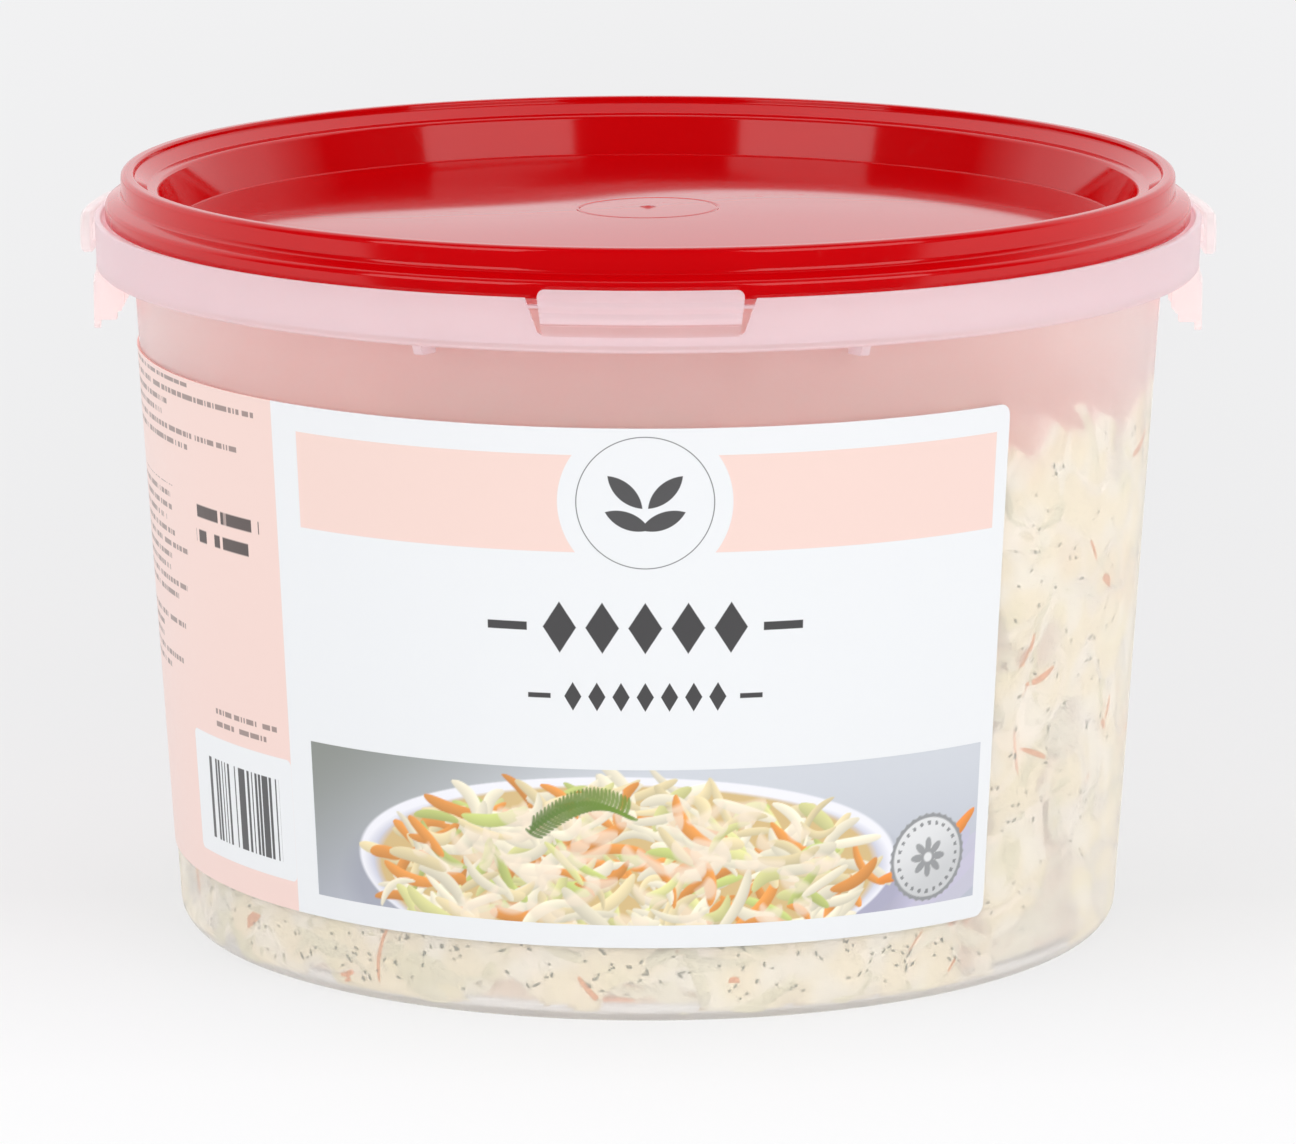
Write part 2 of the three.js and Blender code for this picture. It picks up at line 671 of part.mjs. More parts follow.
const milkyPlastic = new THREE.MeshStandardMaterial({ color: 0xe9dcd9, roughness: 0.35, metalness: 0 });
const redPlastic = new THREE.MeshStandardMaterial({ color: 0xc3040f, roughness: 0.2, metalness: 0 });
const slawCream = new THREE.MeshStandardMaterial({ color: 0xf3e6cc, roughness: 0.6, metalness: 0 });
const labelFilm = new THREE.MeshStandardMaterial({ color: 0xf6f2ef, roughness: 0.45, metalness: 0 });
const handlePlastic = new THREE.MeshStandardMaterial({ color: 0xefeae8, roughness: 0.35, metalness: 0 });

const coleslawTub = new THREE.Group();
coleslawTub.add(toMesh('tub', makeTub(), milkyPlastic));
coleslawTub.add(toMesh('lid', makeLid(), redPlastic));
coleslawTub.add(toMesh('coleslaw', makeSlaw(), slawCream));
coleslawTub.add(toMesh('label', makeLabel(), labelFilm));
coleslawTub.add(toMesh('handle', makeHandle(), handlePlastic));

export default coleslawTub;
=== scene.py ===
import math
import random

import bmesh
import bpy
import numpy as np
from mathutils import Matrix, Vector, noise


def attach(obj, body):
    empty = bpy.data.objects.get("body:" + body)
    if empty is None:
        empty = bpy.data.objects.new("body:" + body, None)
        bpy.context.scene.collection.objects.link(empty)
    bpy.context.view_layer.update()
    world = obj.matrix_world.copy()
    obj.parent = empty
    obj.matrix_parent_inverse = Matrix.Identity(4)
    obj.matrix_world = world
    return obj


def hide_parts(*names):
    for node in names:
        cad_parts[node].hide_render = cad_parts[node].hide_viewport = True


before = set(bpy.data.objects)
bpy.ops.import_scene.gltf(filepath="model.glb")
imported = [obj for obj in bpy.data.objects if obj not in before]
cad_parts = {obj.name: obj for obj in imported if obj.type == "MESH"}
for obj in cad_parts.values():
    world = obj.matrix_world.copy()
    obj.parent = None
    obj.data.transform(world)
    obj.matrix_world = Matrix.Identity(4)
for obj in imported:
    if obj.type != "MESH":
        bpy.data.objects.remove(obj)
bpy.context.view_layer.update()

# Sizes are in millimetres, as on a drawing of the tub, and MM turns them into metres
MM = 0.001

# Round bodies
SEGMENTS = 288

# Tub wall, a straight cone, and its base
BASE_RADIUS = 87.6
NECK_RADIUS = 94.96
NECK_HEIGHT = 122.05
WALL = 1.1
BASE_THICKNESS = 1.5
FOOT_ROUND = 2.0
BASE_RECESS = 0.4
BASE_RECESS_RADIUS = 79.0
TUB_RIM_HEIGHT = 133.6
TUB_BEAD_HEIGHT = 3.2
TUB_BEAD_SLOPE = 1.0
TUB_BEAD_WIDTH = 1.2

# Collar, the ring that stands round the lid's skirt
COLLAR_TOP = 131.4
COLLAR_TOP_RADIUS = 102.0
COLLAR_FOOT_RADIUS = 101.7
COLLAR_INNER_RADIUS = 100.8
FLANGE_THICKNESS = 1.2

# Tear tab, a trapezoid in the collar, narrower at its foot
TAB_FOOT_HEIGHT = 125.2
TAB_TOP_HEIGHT = 133.1
TAB_TOP_HALF_WIDTH = 17.9
TAB_FOOT_HALF_WIDTH = 16.8
TAB_CORNER_ROUND = 1.4
NOTCH_TOP_HALF_WIDTH = 19.8
NOTCH_FOOT_HALF_WIDTH = 17.6
TAB_FOOT_RADIUS = 102.2
TAB_FLARE = 0.75
TAB_RIBS = 3
TAB_RIB_PITCH = 2.0
TAB_RIB_DEPTH = 0.35

# Threads that hold the tab beside its ends
BRIDGE_PLACE = 18.5
BRIDGE_REACH = 1.3
BRIDGE_FOOT = 129.8
BRIDGE_TOP = 130.2
BRIDGE_FACE = -100.6
BRIDGE_DEPTH = 1.7

# Gusset teeth under the collar, measured from the tab
GUSSET_ANGLES = (22.5, -22.5, 157.5, -157.5)
GUSSET_DROP = 2.2
GUSSET_WIDTH = 1.6

# Ears that hang below the collar under the handle's pins
EAR_HALF_WIDTH = 12.0
EAR_FOOT_HEIGHT = 110.7
EAR_OUTER_RADIUS = 102.35
EAR_THICKNESS = 1.25
EAR_STEP_HEIGHT = 119.7
EAR_CORNER_ROUND = 2.5
WEB_INNER_RADIUS = 96.3
WEB_FOOT_HEIGHT = 112.3
WEB_STEP = 1.3
WEB_THICKNESS = 1.4
WEB_OFFSETS = (-9.5, 0.0, 9.5)

# Lid
LID_RIM_OUTER = 97.1
LID_RIM_INNER = 94.7
LID_TOP = 139.5
LID_RIM_FOOT = 135.2
LID_SKIRT_RADIUS = 100.0
LID_SHOULDER_HEIGHT = 133.9
LID_SKIRT_FOOT = 131.0
LID_WALL = 0.95
LID_LEDGE_OUTER = 92.2
LID_LEDGE_HEIGHT = 136.6
LID_LEDGE_INNER = 90.2
LID_LEDGE_DROP = 0.35
LID_PANEL_RADIUS = 88.1
LID_PANEL_EDGE_HEIGHT = 128.85
LID_PANEL_BULGE = 3.0
LID_PANEL_RINGS = 44
GATE_RING_RADIUS = 12.9
GATE_RING_WIDTH = 0.5
GATE_RING_DEPTH = 0.12

# Label, a skin on the cone, as angles from the tab, positive towards +X
LABEL_FOOT = 14.05
LABEL_TOP = 107.8
LABEL_LIFT = 0.03
LABEL_FACE = 0.42
LABEL_RIGHT_EDGE = 43.0
LABEL_WRAP = 200.0
LABEL_CORNER = 2.2

# Handle, a strap that turns on two pins in the collar
PIVOT_HEIGHT = 127.2
STRAP_HEIGHT = 7.8
STRAP_INNER_X = 102.6
STRAP_INNER_Y = 103.9
STRAP_THICKNESS = 2.2
STRAP_SEGMENTS = 120
STRAP_ROUND = 0.6
GRIP_HALF_ANGLE = 24.0
GRIP_EXTRA_HEIGHT = 1.6
PIN_RADIUS = 1.6
PIN_TIP = 101.1
PIN_HOLE_RADIUS = 2.0

# Coleslaw
SLAW_FLOOR = 1.4
SLAW_TOP = 99.5
SLAW_INTO_WALL = 0.15
HERB_FLECKS = 1050


def tub_radius(height):
    return BASE_RADIUS + (NECK_RADIUS - BASE_RADIUS) * height / NECK_HEIGHT


def at_turn(radius, turn, height):
    """A point that lies turn radians from the tab's side, positive towards +X."""
    return (radius * math.sin(turn), -radius * math.cos(turn), height)


def smoothstep(low, high, value):
    share = np.clip((value - low) / (high - low), 0.0, 1.0)
    return share * share * (3.0 - 2.0 * share)


# Meshes


def add_object(name, vertices, faces, scale=MM):
    mesh = bpy.data.meshes.new(name)
    mesh.from_pydata([tuple(c * scale for c in v) for v in vertices], [], faces)
    mesh.validate()
    made = bpy.data.objects.new(name, mesh)
    bpy.context.scene.collection.objects.link(made)
    return made


def fillet(points, rounds, closed=False):
    """Rounds a profile's corners, with a point just beside each round to hold the shading."""
    made = []
    count = len(points)
    for index, (point, size) in enumerate(zip(points, rounds)):
        if not closed and index in (0, count - 1) or size <= 0:
            made.append(point)
            continue
        here = Vector(point)
        before = Vector(points[index - 1]) - here
        after = Vector(points[(index + 1) % count]) - here
        turn = math.pi - before.angle(after)
        reach = min(size * math.tan(turn / 2), before.length * 0.42, after.length * 0.42)
        radius = reach / math.tan(turn / 2)
        before.normalize()
        after.normalize()
        centre = here + (before + after).normalized() * (radius / math.cos(turn / 2))
        first = here + before * reach
        last = here + after * reach
        steps = max(2, round(math.degrees(turn) / 15))
        made.append(tuple(first + before * reach * 0.15))
        for step in range(steps + 1):
            share = step / steps
            spoke = (first - centre).lerp(last - centre, share)
            if turn > 0.2:
                blend = math.sin(turn)
                spoke = (
                    (first - centre) * math.sin((1 - share) * turn) / blend
                    + (last - centre) * math.sin(share * turn) / blend
                )
            made.append(tuple(centre + spoke))
        made.append(tuple(last + after * reach * 0.15))
    return made


def rounded(corners, closed=True):
    """A profile or an outline from (a, b, round) corners."""
    return fillet([(a, b) for a, b, _ in corners], [size for _, _, size in corners], closed)


def trapezoid(foot, foot_half, foot_round, top, top_half, top_round=0.0):
    """An outline with a width and a corner round at its foot and at its top."""
    return rounded([
        (-foot_half, foot, foot_round),
        (foot_half, foot, foot_round),
        (top_half, top, top_round),
        (-top_half, top, top_round),
    ])


def turned(name, profile, closed=False, segments=SEGMENTS):
    """A profile of (radius, height) turned about the Z axis, starting on the tab's side."""
    vertices, rings, faces = [], [], []
    for radius, height in profile:
        if radius < 1e-6:
            rings.append([len(vertices)] * segments)
            vertices.append((0.0, 0.0, height))
            continue
        rings.append(range(len(vertices), len(vertices) + segments))
        for segment in range(segments):
            vertices.append(at_turn(radius, 2 * math.pi * segment / segments, height))
    pairs = list(zip(rings, rings[1:]))
    if closed:
        pairs.append((rings[-1], rings[0]))
    for low, high in pairs:
        for segment in range(segments):
            following = (segment + 1) % segments
            corners = (low[segment], low[following], high[following], high[segment])
            faces.append(tuple(dict.fromkeys(corners)))
    return add_object(name, vertices, faces)


def bridge(faces, low, high, count):
    """Quads between two rings of points, which start at low and at high."""
    for index in range(count):
        following = (index + 1) % count
        faces.append((low + index, low + following, high + following, high + index))


def prism(name, outline, start, depth, across):
    """An outline pushed along a line square to it: across turns (a, b, along) to a point."""
    count = len(outline)
    vertices = [across(a, b, start) for a, b in outline]
    vertices += [across(a, b, start + depth) for a, b in outline]
    faces = [tuple(range(count)), tuple(reversed(range(count, 2 * count)))]
    for index in range(count):
        following = (index + 1) % count
        faces.append((index, index + count, following + count, following))
    made = add_object(name, vertices, faces)
    face_outwards(made)
    return made


def face_outwards(made):
    work = bmesh.new()
    work.from_mesh(made.data)
    bmesh.ops.recalc_face_normals(work, faces=work.faces)
    work.to_mesh(made.data)
    work.free()


def along_y(a, b, along):
    return (a, along, b)


def along_x(a, b, along):
    return (along, a, b)


def combine(base, operation, *tools):
    """Joins tools to a base, or cuts them from it, and leaves one closed mesh."""
    for tool in tools:
        step = base.modifiers.new(operation.lower(), "BOOLEAN")
        step.operation = operation
        step.solver = "MANIFOLD"
        step.object = tool
    graph = bpy.context.evaluated_depsgraph_get()
    done = bpy.data.meshes.new_from_object(base.evaluated_get(graph))
    done.materials.clear()
    base.modifiers.clear()
    base.data = done
    for tool in tools:
        bpy.data.objects.remove(tool)
    return base


def smooth(made, angle):
    """Smooth shading, with the edges sharper than the angle kept crisp."""
    work = bmesh.new()
    work.from_mesh(made.data)
    bmesh.ops.dissolve_degenerate(work, dist=1e-7, edges=work.edges)
    limit = math.radians(angle)
    for face in work.faces:
        face.smooth = True
    for edge in work.edges:
        edge.smooth = not (len(edge.link_faces) == 2 and edge.calc_face_angle(0.0) > limit)
    work.to_mesh(made.data)
    work.free()


def finished(made, *materials, angle=32.0):
    """A piece with smooth shading and its materials."""
    smooth(made, angle)
    for material in materials:
        made.data.materials.append(material)
    return made


def turn_about_z(made, degrees):
    made.data.transform(Matrix.Rotation(math.radians(degrees), 4, "Z"))


# Materials

PLASTIC_IOR = 1.49
FILM_IOR = 1.46


class Term:
    """Arithmetic on a shader's numbers, so that a mask reads as a formula."""

    def __init__(self, tree, socket):
        self.tree = tree
        self.socket = socket

    def act(self, operation, *others, clamp=False):
        node = self.tree.nodes.new("ShaderNodeMath")
        node.operation = operation
        node.use_clamp = clamp
        for entry, value in zip(node.inputs, (self, *others)):
            if isinstance(value, Term):
                self.tree.links.new(value.socket, entry)
            else:
                entry.default_value = value
        return Term(self.tree, node.outputs[0])

    def __add__(self, other):
        return self.act("ADD", other)

    def __sub__(self, other):
        return self.act("SUBTRACT", other)

    def __mul__(self, other):
        return self.act("MULTIPLY", other)

    def __truediv__(self, other):
        return self.act("DIVIDE", other)

    def __abs__(self):
        return self.act("ABSOLUTE")

    def __neg__(self):
        return self * -1.0

    def above(self, edge, softness):
        """1 where the number is more than the edge, with a soft step."""
        return ((self - edge) / softness + 0.5).act("ADD", 0.0, clamp=True)

    def inverse(self):
        return (-self) + 1.0


class Paint:
    """A material with its nodes, and short ways to add to them."""

    def __init__(self, name):
        self.material = bpy.data.materials.new(name)
        self.material.use_nodes = True
        self.tree = self.material.node_tree
        self.tree.nodes.clear()
        self.output = self.add("ShaderNodeOutputMaterial")

    def add(self, kind, **values):
        node = self.tree.nodes.new(kind)
        for key, value in values.items():
            if hasattr(node, key):
                setattr(node, key, value)
            else:
                node.inputs[key.replace("_", " ")].default_value = value
        return node

    def link(self, source, target):
        self.tree.links.new(source.socket if isinstance(source, Term) else source, target)

    def put(self, value, entry):
        """Links a node's result to a socket, or sets the socket to a number or a colour."""
        if isinstance(value, (int, float)):
            entry.default_value = value
        elif isinstance(value, tuple):
            entry.default_value = (*value, 1.0)
        else:
            self.link(value, entry)

    def term(self, socket):
        return Term(self.tree, socket)

    def parts(self, socket):
        """The three numbers of a place."""
        split = self.add("ShaderNodeSeparateXYZ")
        self.link(socket, split.inputs[0])
        return [self.term(output) for output in split.outputs]

    def place(self):
        return self.add("ShaderNodeTexCoord").outputs["Object"]

    def noise(self, scale, detail=0.0, roughness=0.5, stretch=None):
        """Noise from 0 to 1, with its scale in features for each metre."""
        where = self.place()
        if stretch:
            mapping = self.add("ShaderNodeMapping", Scale=stretch)
            self.link(where, mapping.inputs["Vector"])
            where = mapping.outputs[0]
        node = self.add("ShaderNodeTexNoise", Scale=scale, Detail=detail, Roughness=roughness)
        self.link(where, node.inputs["Vector"])
        return self.term(node.outputs[0])

    def mix(self, share, first, second):
        """A colour between two, each a colour or the result of another mix."""
        node = self.add("ShaderNodeMix", data_type="RGBA")
        for entry, value in ((0, share), (6, first), (7, second)):
            self.put(value, node.inputs[entry])
        return node.outputs[2]

    def principled(self, base, roughness, **sockets):
        node = self.add("ShaderNodeBsdfPrincipled", **sockets)
        self.put(base, node.inputs["Base Color"])
        self.put(roughness, node.inputs["Roughness"])
        return node

    def bump(self, height, distance, shader):
        node = self.add("ShaderNodeBump", Distance=distance, Strength=1.0)
        self.link(height, node.inputs["Height"])
        self.link(node.outputs[0], shader.inputs["Normal"])

    def blend(self, share, first, second):
        """Two shaders in one: share 0 is the first, and 1 the second."""
        node = self.add("ShaderNodeMixShader")
        self.put(share, node.inputs[0])
        self.link(first.outputs[0], node.inputs[1])
        self.link(second.outputs[0], node.inputs[2])
        return node

    def in_shadow(self):
        return self.add("ShaderNodeLightPath").outputs["Is Shadow Ray"]

    def finish(self, shader):
        self.link(shader.outputs[0], self.output.inputs["Surface"])
        return self.material


def srgb(red, green, blue):
    """A colour of 0 to 255 as shown on a screen, as the linear numbers that shaders take."""
    shown = np.array([red, green, blue]) / 255.0
    steep = ((shown + 0.055) / 1.055) ** 2.4
    return tuple(float(c) for c in np.where(shown <= 0.04045, shown / 12.92, steep))


def milky_plastic(name, clearness, scatter, tint, passed):
    """Thin polypropylene: a rough clear part, a milky part, and light that passes through."""
    paint = Paint(name)
    cloud = paint.noise(110.0)
    shade = tuple(c * 0.98 for c in tint)
    base = paint.mix(cloud, shade, tint)
    rough = cloud * 0.06 + 0.28
    body = paint.principled(base, rough, Transmission_Weight=clearness, IOR=PLASTIC_IOR)
    paint.bump(cloud, 0.00012, body)
    glow = paint.add("ShaderNodeBsdfTranslucent")
    paint.link(base, glow.inputs["Color"])
    milk = paint.blend(scatter, body, glow)
    passing = paint.add("ShaderNodeBsdfTransparent", Color=(passed, passed, passed, 1.0))
    return paint.finish(paint.blend(paint.in_shadow(), milk, passing))


def red_plastic():
    paint = Paint("lid_red")
    cloud = paint.noise(45.0, detail=1.0)
    base = paint.mix(cloud, (0.585, 0.0002, 0.002), (0.62, 0.0004, 0.003))
    scuffs = paint.noise(240.0, detail=3.0, roughness=0.7, stretch=(1.0, 6.0, 1.0))
    rough = scuffs.above(0.66, 0.1) * 0.10 + 0.085
    body = paint.principled(base, rough, IOR=PLASTIC_IOR)
    paint.bump(paint.noise(38.0), 0.00006, body)
    glow = paint.add("ShaderNodeBsdfTranslucent", Color=(0.62, 0.006, 0.012, 1.0))
    solid = paint.blend(0.16, body, glow)
    passing = paint.add("ShaderNodeBsdfTransparent", Color=(1.0, 0.02, 0.025, 1.0))
    return paint.finish(paint.blend(paint.in_shadow(), solid, passing))


SLAW_CREAM = srgb(253, 244, 222)
SLAW_PALE = srgb(255, 251, 240)
SLAW_GREEN = srgb(245, 240, 208)
SLAW_WARM = srgb(250, 222, 196)
# Painted shade: the cream is greyed towards this where it lies back from the wall
SLAW_PAINTED_SHADE = srgb(228, 204, 186)
SLAW_GRAIN = srgb(247, 232, 204)
# Painted glow: the cream gives off a little light of its own, which stands for light scattered
# inside the heap
SLAW_PAINTED_GLOW = (1.0, 0.87, 0.70, 1.0)
SLAW_PAINTED_GLOW_STRENGTH = 0.055

# Patches in the cream: colour, size in millimetres, shift, noise from and to, and the most of it
SLAW_PATCHES = (
    (SLAW_PALE, 6.5, (0.0, 0.0, 0.0), -0.1, 0.35, 1.0),
    (SLAW_GREEN, 9.0, (5.0, 1.0, 9.0), 0.18, 0.5, 0.5),
    (SLAW_WARM, 15.0, (2.0, 7.0, 3.0), 0.22, 0.6, 0.35),
)


def slaw_mass_material():
    """Cabbage in dressing: cream with paler, greener and warmer patches, and painted shade where it
    lies back from the wall.
    """
    paint = Paint("slaw_cream")
    patches = paint.add("ShaderNodeVertexColor", layer_name="cream")
    grain = paint.noise(420.0, detail=1.0)
    base = paint.mix(grain * 0.2, patches.outputs[0], SLAW_GRAIN)
    # The emission is a painted glow, not a lamp
    body = paint.principled(
        base, 0.38, Emission_Color=SLAW_PAINTED_GLOW, Emission_Strength=SLAW_PAINTED_GLOW_STRENGTH)
    paint.bump(grain, 0.0004, body)
    paint.material.cycles.emission_sampling = "NONE"
    return paint.finish(body)


def slaw_colour(x, y, z, gap):
    """The cream's colour at a place in millimetres, with painted shade: greyer where it lies back
    from the wall.
    """
    place = Vector((x, y, z))
    colour = Vector(SLAW_CREAM)
    for patch, size, shift, low, high, most in SLAW_PATCHES:
        share = float(smoothstep(low, high, noise.noise(place / size + Vector(shift))))
        colour = colour.lerp(Vector(patch), share * most)
    return colour.lerp(Vector(SLAW_PAINTED_SHADE), min(gap / 2.0, 1.0) * 0.85)


def shred_material(name, pale, deep, scale):
    """A vegetable shred: its colour wanders along it, with fine fibres."""
    paint = Paint(name)
    base = paint.mix(paint.noise(scale, detail=1.0), deep, pale)
    body = paint.principled(base, 0.35)
    paint.bump(paint.noise(900.0), 0.0002, body)
    return paint.finish(body)


# Tub


def tub_shell():
    flange_top = NECK_HEIGHT + FLANGE_THICKNESS
    rim_outer = tub_radius(TUB_RIM_HEIGHT)
    bead_foot = TUB_RIM_HEIGHT - TUB_BEAD_HEIGHT
    inner_foot = BASE_THICKNESS + FOOT_ROUND
    corners = [
        (0.0, BASE_RECESS, 0.0),
        (BASE_RECESS_RADIUS - 1.0, BASE_RECESS, 0.4),
        (BASE_RECESS_RADIUS, 0.0, 0.4),
        (BASE_RADIUS - FOOT_ROUND * 0.6, 0.0, FOOT_ROUND),
        (tub_radius(FOOT_ROUND), FOOT_ROUND, FOOT_ROUND * 1.6),
        (NECK_RADIUS, NECK_HEIGHT, 0.5),
        (COLLAR_FOOT_RADIUS, NECK_HEIGHT, 0.7),
        (COLLAR_TOP_RADIUS, COLLAR_TOP, 0.35),
        (COLLAR_INNER_RADIUS, COLLAR_TOP, 0.35),
        (COLLAR_INNER_RADIUS, flange_top, 0.4),
        (tub_radius(flange_top), flange_top, 0.4),
        (tub_radius(bead_foot), bead_foot, 0.5),
        (rim_outer + TUB_BEAD_WIDTH, bead_foot + TUB_BEAD_SLOPE, 0.5),
        (rim_outer + TUB_BEAD_WIDTH / 2, TUB_RIM_HEIGHT, 0.6),
        (rim_outer - WALL, TUB_RIM_HEIGHT, 0.5),
        (tub_radius(inner_foot) - WALL, inner_foot, 3.0),
        (BASE_RADIUS - FOOT_ROUND - WALL, BASE_THICKNESS, 2.0),
        (0.0, BASE_THICKNESS, 0.0),
    ]
    return turned("tub_wall", rounded(corners, closed=False))


def tab_notch():
    slope = (NOTCH_TOP_HALF_WIDTH - NOTCH_FOOT_HALF_WIDTH) / (COLLAR_TOP - TAB_FOOT_HEIGHT)
    outline = trapezoid(TAB_FOOT_HEIGHT, NOTCH_FOOT_HALF_WIDTH, 0.8,
                        COLLAR_TOP + 1.0, NOTCH_TOP_HALF_WIDTH + slope)
    return prism("notch", outline, -COLLAR_TOP_RADIUS - 4.0, 8.0, along_y)


def tab_radius(height):
    share = (height - TAB_FOOT_HEIGHT) / (TAB_TOP_HEIGHT - TAB_FOOT_HEIGHT)
    return TAB_FOOT_RADIUS + TAB_FLARE * share


def tear_tab():
    """The tab flares outwards and carries finger ribs above a thin tearing line."""
    foot = TAB_FOOT_HEIGHT - 0.3
    tear_top = TAB_TOP_HEIGHT - TAB_RIBS * TAB_RIB_PITCH
    corners = [
        (COLLAR_INNER_RADIUS + 0.1, foot, 0.0),
        (COLLAR_TOP_RADIUS - 0.1, foot, 0.0),
        (COLLAR_TOP_RADIUS - 0.3, tear_top - 0.3, 0.3),
    ]
    for rib in range(TAB_RIBS):
        start = tear_top + rib * TAB_RIB_PITCH
        crest = start + TAB_RIB_PITCH * 0.5
        corners.append((tab_radius(start), start, 0.3))
        corners.append((tab_radius(crest) + TAB_RIB_DEPTH, crest, 0.9))
    corners.append((tab_radius(TAB_TOP_HEIGHT), TAB_TOP_HEIGHT, 0.3))
    corners.append((TAB_FOOT_RADIUS - 0.1, TAB_TOP_HEIGHT, 0.3))
    corners.append((COLLAR_INNER_RADIUS + 0.2, tear_top, 0.4))
    ring = turned("tab", rounded(corners), closed=True)
    outline = trapezoid(foot - 1.0, TAB_FOOT_HALF_WIDTH, 0.0,
                        TAB_TOP_HEIGHT, TAB_TOP_HALF_WIDTH, TAB_CORNER_ROUND)
    face = prism("tab_face", outline, -COLLAR_TOP_RADIUS - 4.0, 8.0, along_y)
    return combine(ring, "INTERSECT", face)


def tab_bridge(side):
    """A thin thread of plastic that holds the tab until it is torn."""
    left, right = side * BRIDGE_PLACE - BRIDGE_REACH, side * BRIDGE_PLACE + BRIDGE_REACH
    outline = [(left, BRIDGE_FOOT), (right, BRIDGE_FOOT), (right, BRIDGE_TOP), (left, BRIDGE_TOP)]
    return prism("bridge", outline, BRIDGE_FACE, BRIDGE_DEPTH, along_y)


def gusset(angle):
    inner = NECK_RADIUS - WALL * 0.5
    outline = rounded([
        (inner, NECK_HEIGHT - GUSSET_DROP, 0.0),
        (COLLAR_FOOT_RADIUS - 1.5, NECK_HEIGHT - GUSSET_DROP * 0.8, 0.5),
        (COLLAR_FOOT_RADIUS - 0.4, NECK_HEIGHT + 0.5, 0.0),
        (inner, NECK_HEIGHT + 0.5, 0.0),
    ])
    made = prism("gusset", outline, -GUSSET_WIDTH / 2, GUSSET_WIDTH, along_y)
    turn_about_z(made, angle - 90)
    return made


def ear_plate():
    top = NECK_HEIGHT + FLANGE_THICKNESS * 0.5
    inner = EAR_OUTER_RADIUS - EAR_THICKNESS
    ring = turned("ear", rounded([
        (inner, EAR_FOOT_HEIGHT, 0.3),
        (EAR_OUTER_RADIUS, EAR_FOOT_HEIGHT, 0.4),
        (EAR_OUTER_RADIUS, EAR_STEP_HEIGHT, 0.3),
        (COLLAR_TOP_RADIUS, EAR_STEP_HEIGHT + 0.4, 0.2),
        (COLLAR_FOOT_RADIUS, top, 0.0),
        (inner, top, 0.0),
    ]), closed=True)
    outline = trapezoid(EAR_FOOT_HEIGHT - 0.01, EAR_HALF_WIDTH, EAR_CORNER_ROUND,
                        top + 1.0, EAR_HALF_WIDTH)
    face = prism("ear_face", outline, COLLAR_TOP_RADIUS - 6.0, 12.0, along_x)
    return combine(ring, "INTERSECT", face)


def ear_web(offset):
    top = NECK_HEIGHT + FLANGE_THICKNESS * 0.5
    outer = math.sqrt((EAR_OUTER_RADIUS - EAR_THICKNESS * 0.5) ** 2 - offset ** 2)
    outline = rounded([
        (WEB_INNER_RADIUS, WEB_FOOT_HEIGHT + WEB_STEP * 2, 0.3),
        (WEB_INNER_RADIUS + WEB_STEP, WEB_FOOT_HEIGHT + WEB_STEP, 0.3),
        (WEB_INNER_RADIUS + WEB_STEP, WEB_FOOT_HEIGHT, 0.3),
        (outer, WEB_FOOT_HEIGHT, 0.0),
        (outer, top, 0.0),
        (WEB_INNER_RADIUS, top, 0.0),
    ])
    return prism("web", outline, offset - WEB_THICKNESS / 2, WEB_THICKNESS, along_y)


def ear(turn):
    made = combine(ear_plate(), "UNION", *[ear_web(offset) for offset in WEB_OFFSETS])
    turn_about_z(made, turn)
    return made


def rod(name, radius, start, end, side, height, bevel=0.0, segments=48):
    """A round rod along X on one side of the tub, with bevelled ends."""
    rings = [
        (radius - bevel, start),
        (radius, start + bevel),
        (radius, end - bevel),
        (radius - bevel, end),
    ]
    vertices, faces = [], []
    for size, along in rings:
        for segment in range(segments):
            angle = 2 * math.pi * segment / segments
            vertices.append((side * along, size * math.cos(angle), height + size * math.sin(angle)))
    for ring in range(len(rings) - 1):
        bridge(faces, ring * segments, (ring + 1) * segments, segments)
    faces.append(tuple(range(segments)))
    faces.append(tuple(reversed(range(len(vertices) - segments, len(vertices)))))
    made = add_object(name, vertices, faces)
    face_outwards(made)
    return made


def make_tub(*materials):
    """The materials are those of the wall, the collar, the tearing line and the ears; the collar's
    and the tearing line's tints hold painted red light and painted shade.
    """
    tub = combine(tub_shell(), "DIFFERENCE", tab_notch())
    joined = [tear_tab(), tab_bridge(-1), tab_bridge(1), ear(0), ear(180)]
    joined += [gusset(angle) for angle in GUSSET_ANGLES]
    combine(tub, "UNION", *joined)
    start, end = COLLAR_TOP_RADIUS - 2.5, COLLAR_TOP_RADIUS + 1.5
    holes = [rod("hole", PIN_HOLE_RADIUS, start, end, side, PIVOT_HEIGHT) for side in (-1, 1)]
    combine(tub, "DIFFERENCE", *holes)
    finished(tub, *materials)
    tear_top = TAB_TOP_HEIGHT - TAB_RIBS * TAB_RIB_PITCH
    # The collar and the tearing line take copies of the plastic whose tints are painted red light
    # from the lid and painted shade
    for face in tub.data.polygons:
        x, y, z = face.center / MM
        out = math.hypot(x, y)
        in_tab = abs(x) < TAB_FOOT_HALF_WIDTH + 0.5 and y < 0.0 and out > COLLAR_INNER_RADIUS - 0.5
        if in_tab and TAB_FOOT_HEIGHT - 0.1 < z < tear_top + 0.1:
            face.material_index = 2
        elif out > NECK_RADIUS + 1.0:
            in_ear = z < NECK_HEIGHT - 0.1 and abs(x) > WEB_INNER_RADIUS - 2.0
            face.material_index = 3 if in_ear else 1
    return tub


# Lid


def panel_height(radius):
    return LID_PANEL_EDGE_HEIGHT + LID_PANEL_BULGE * (1 - (radius / LID_PANEL_RADIUS) ** 2)


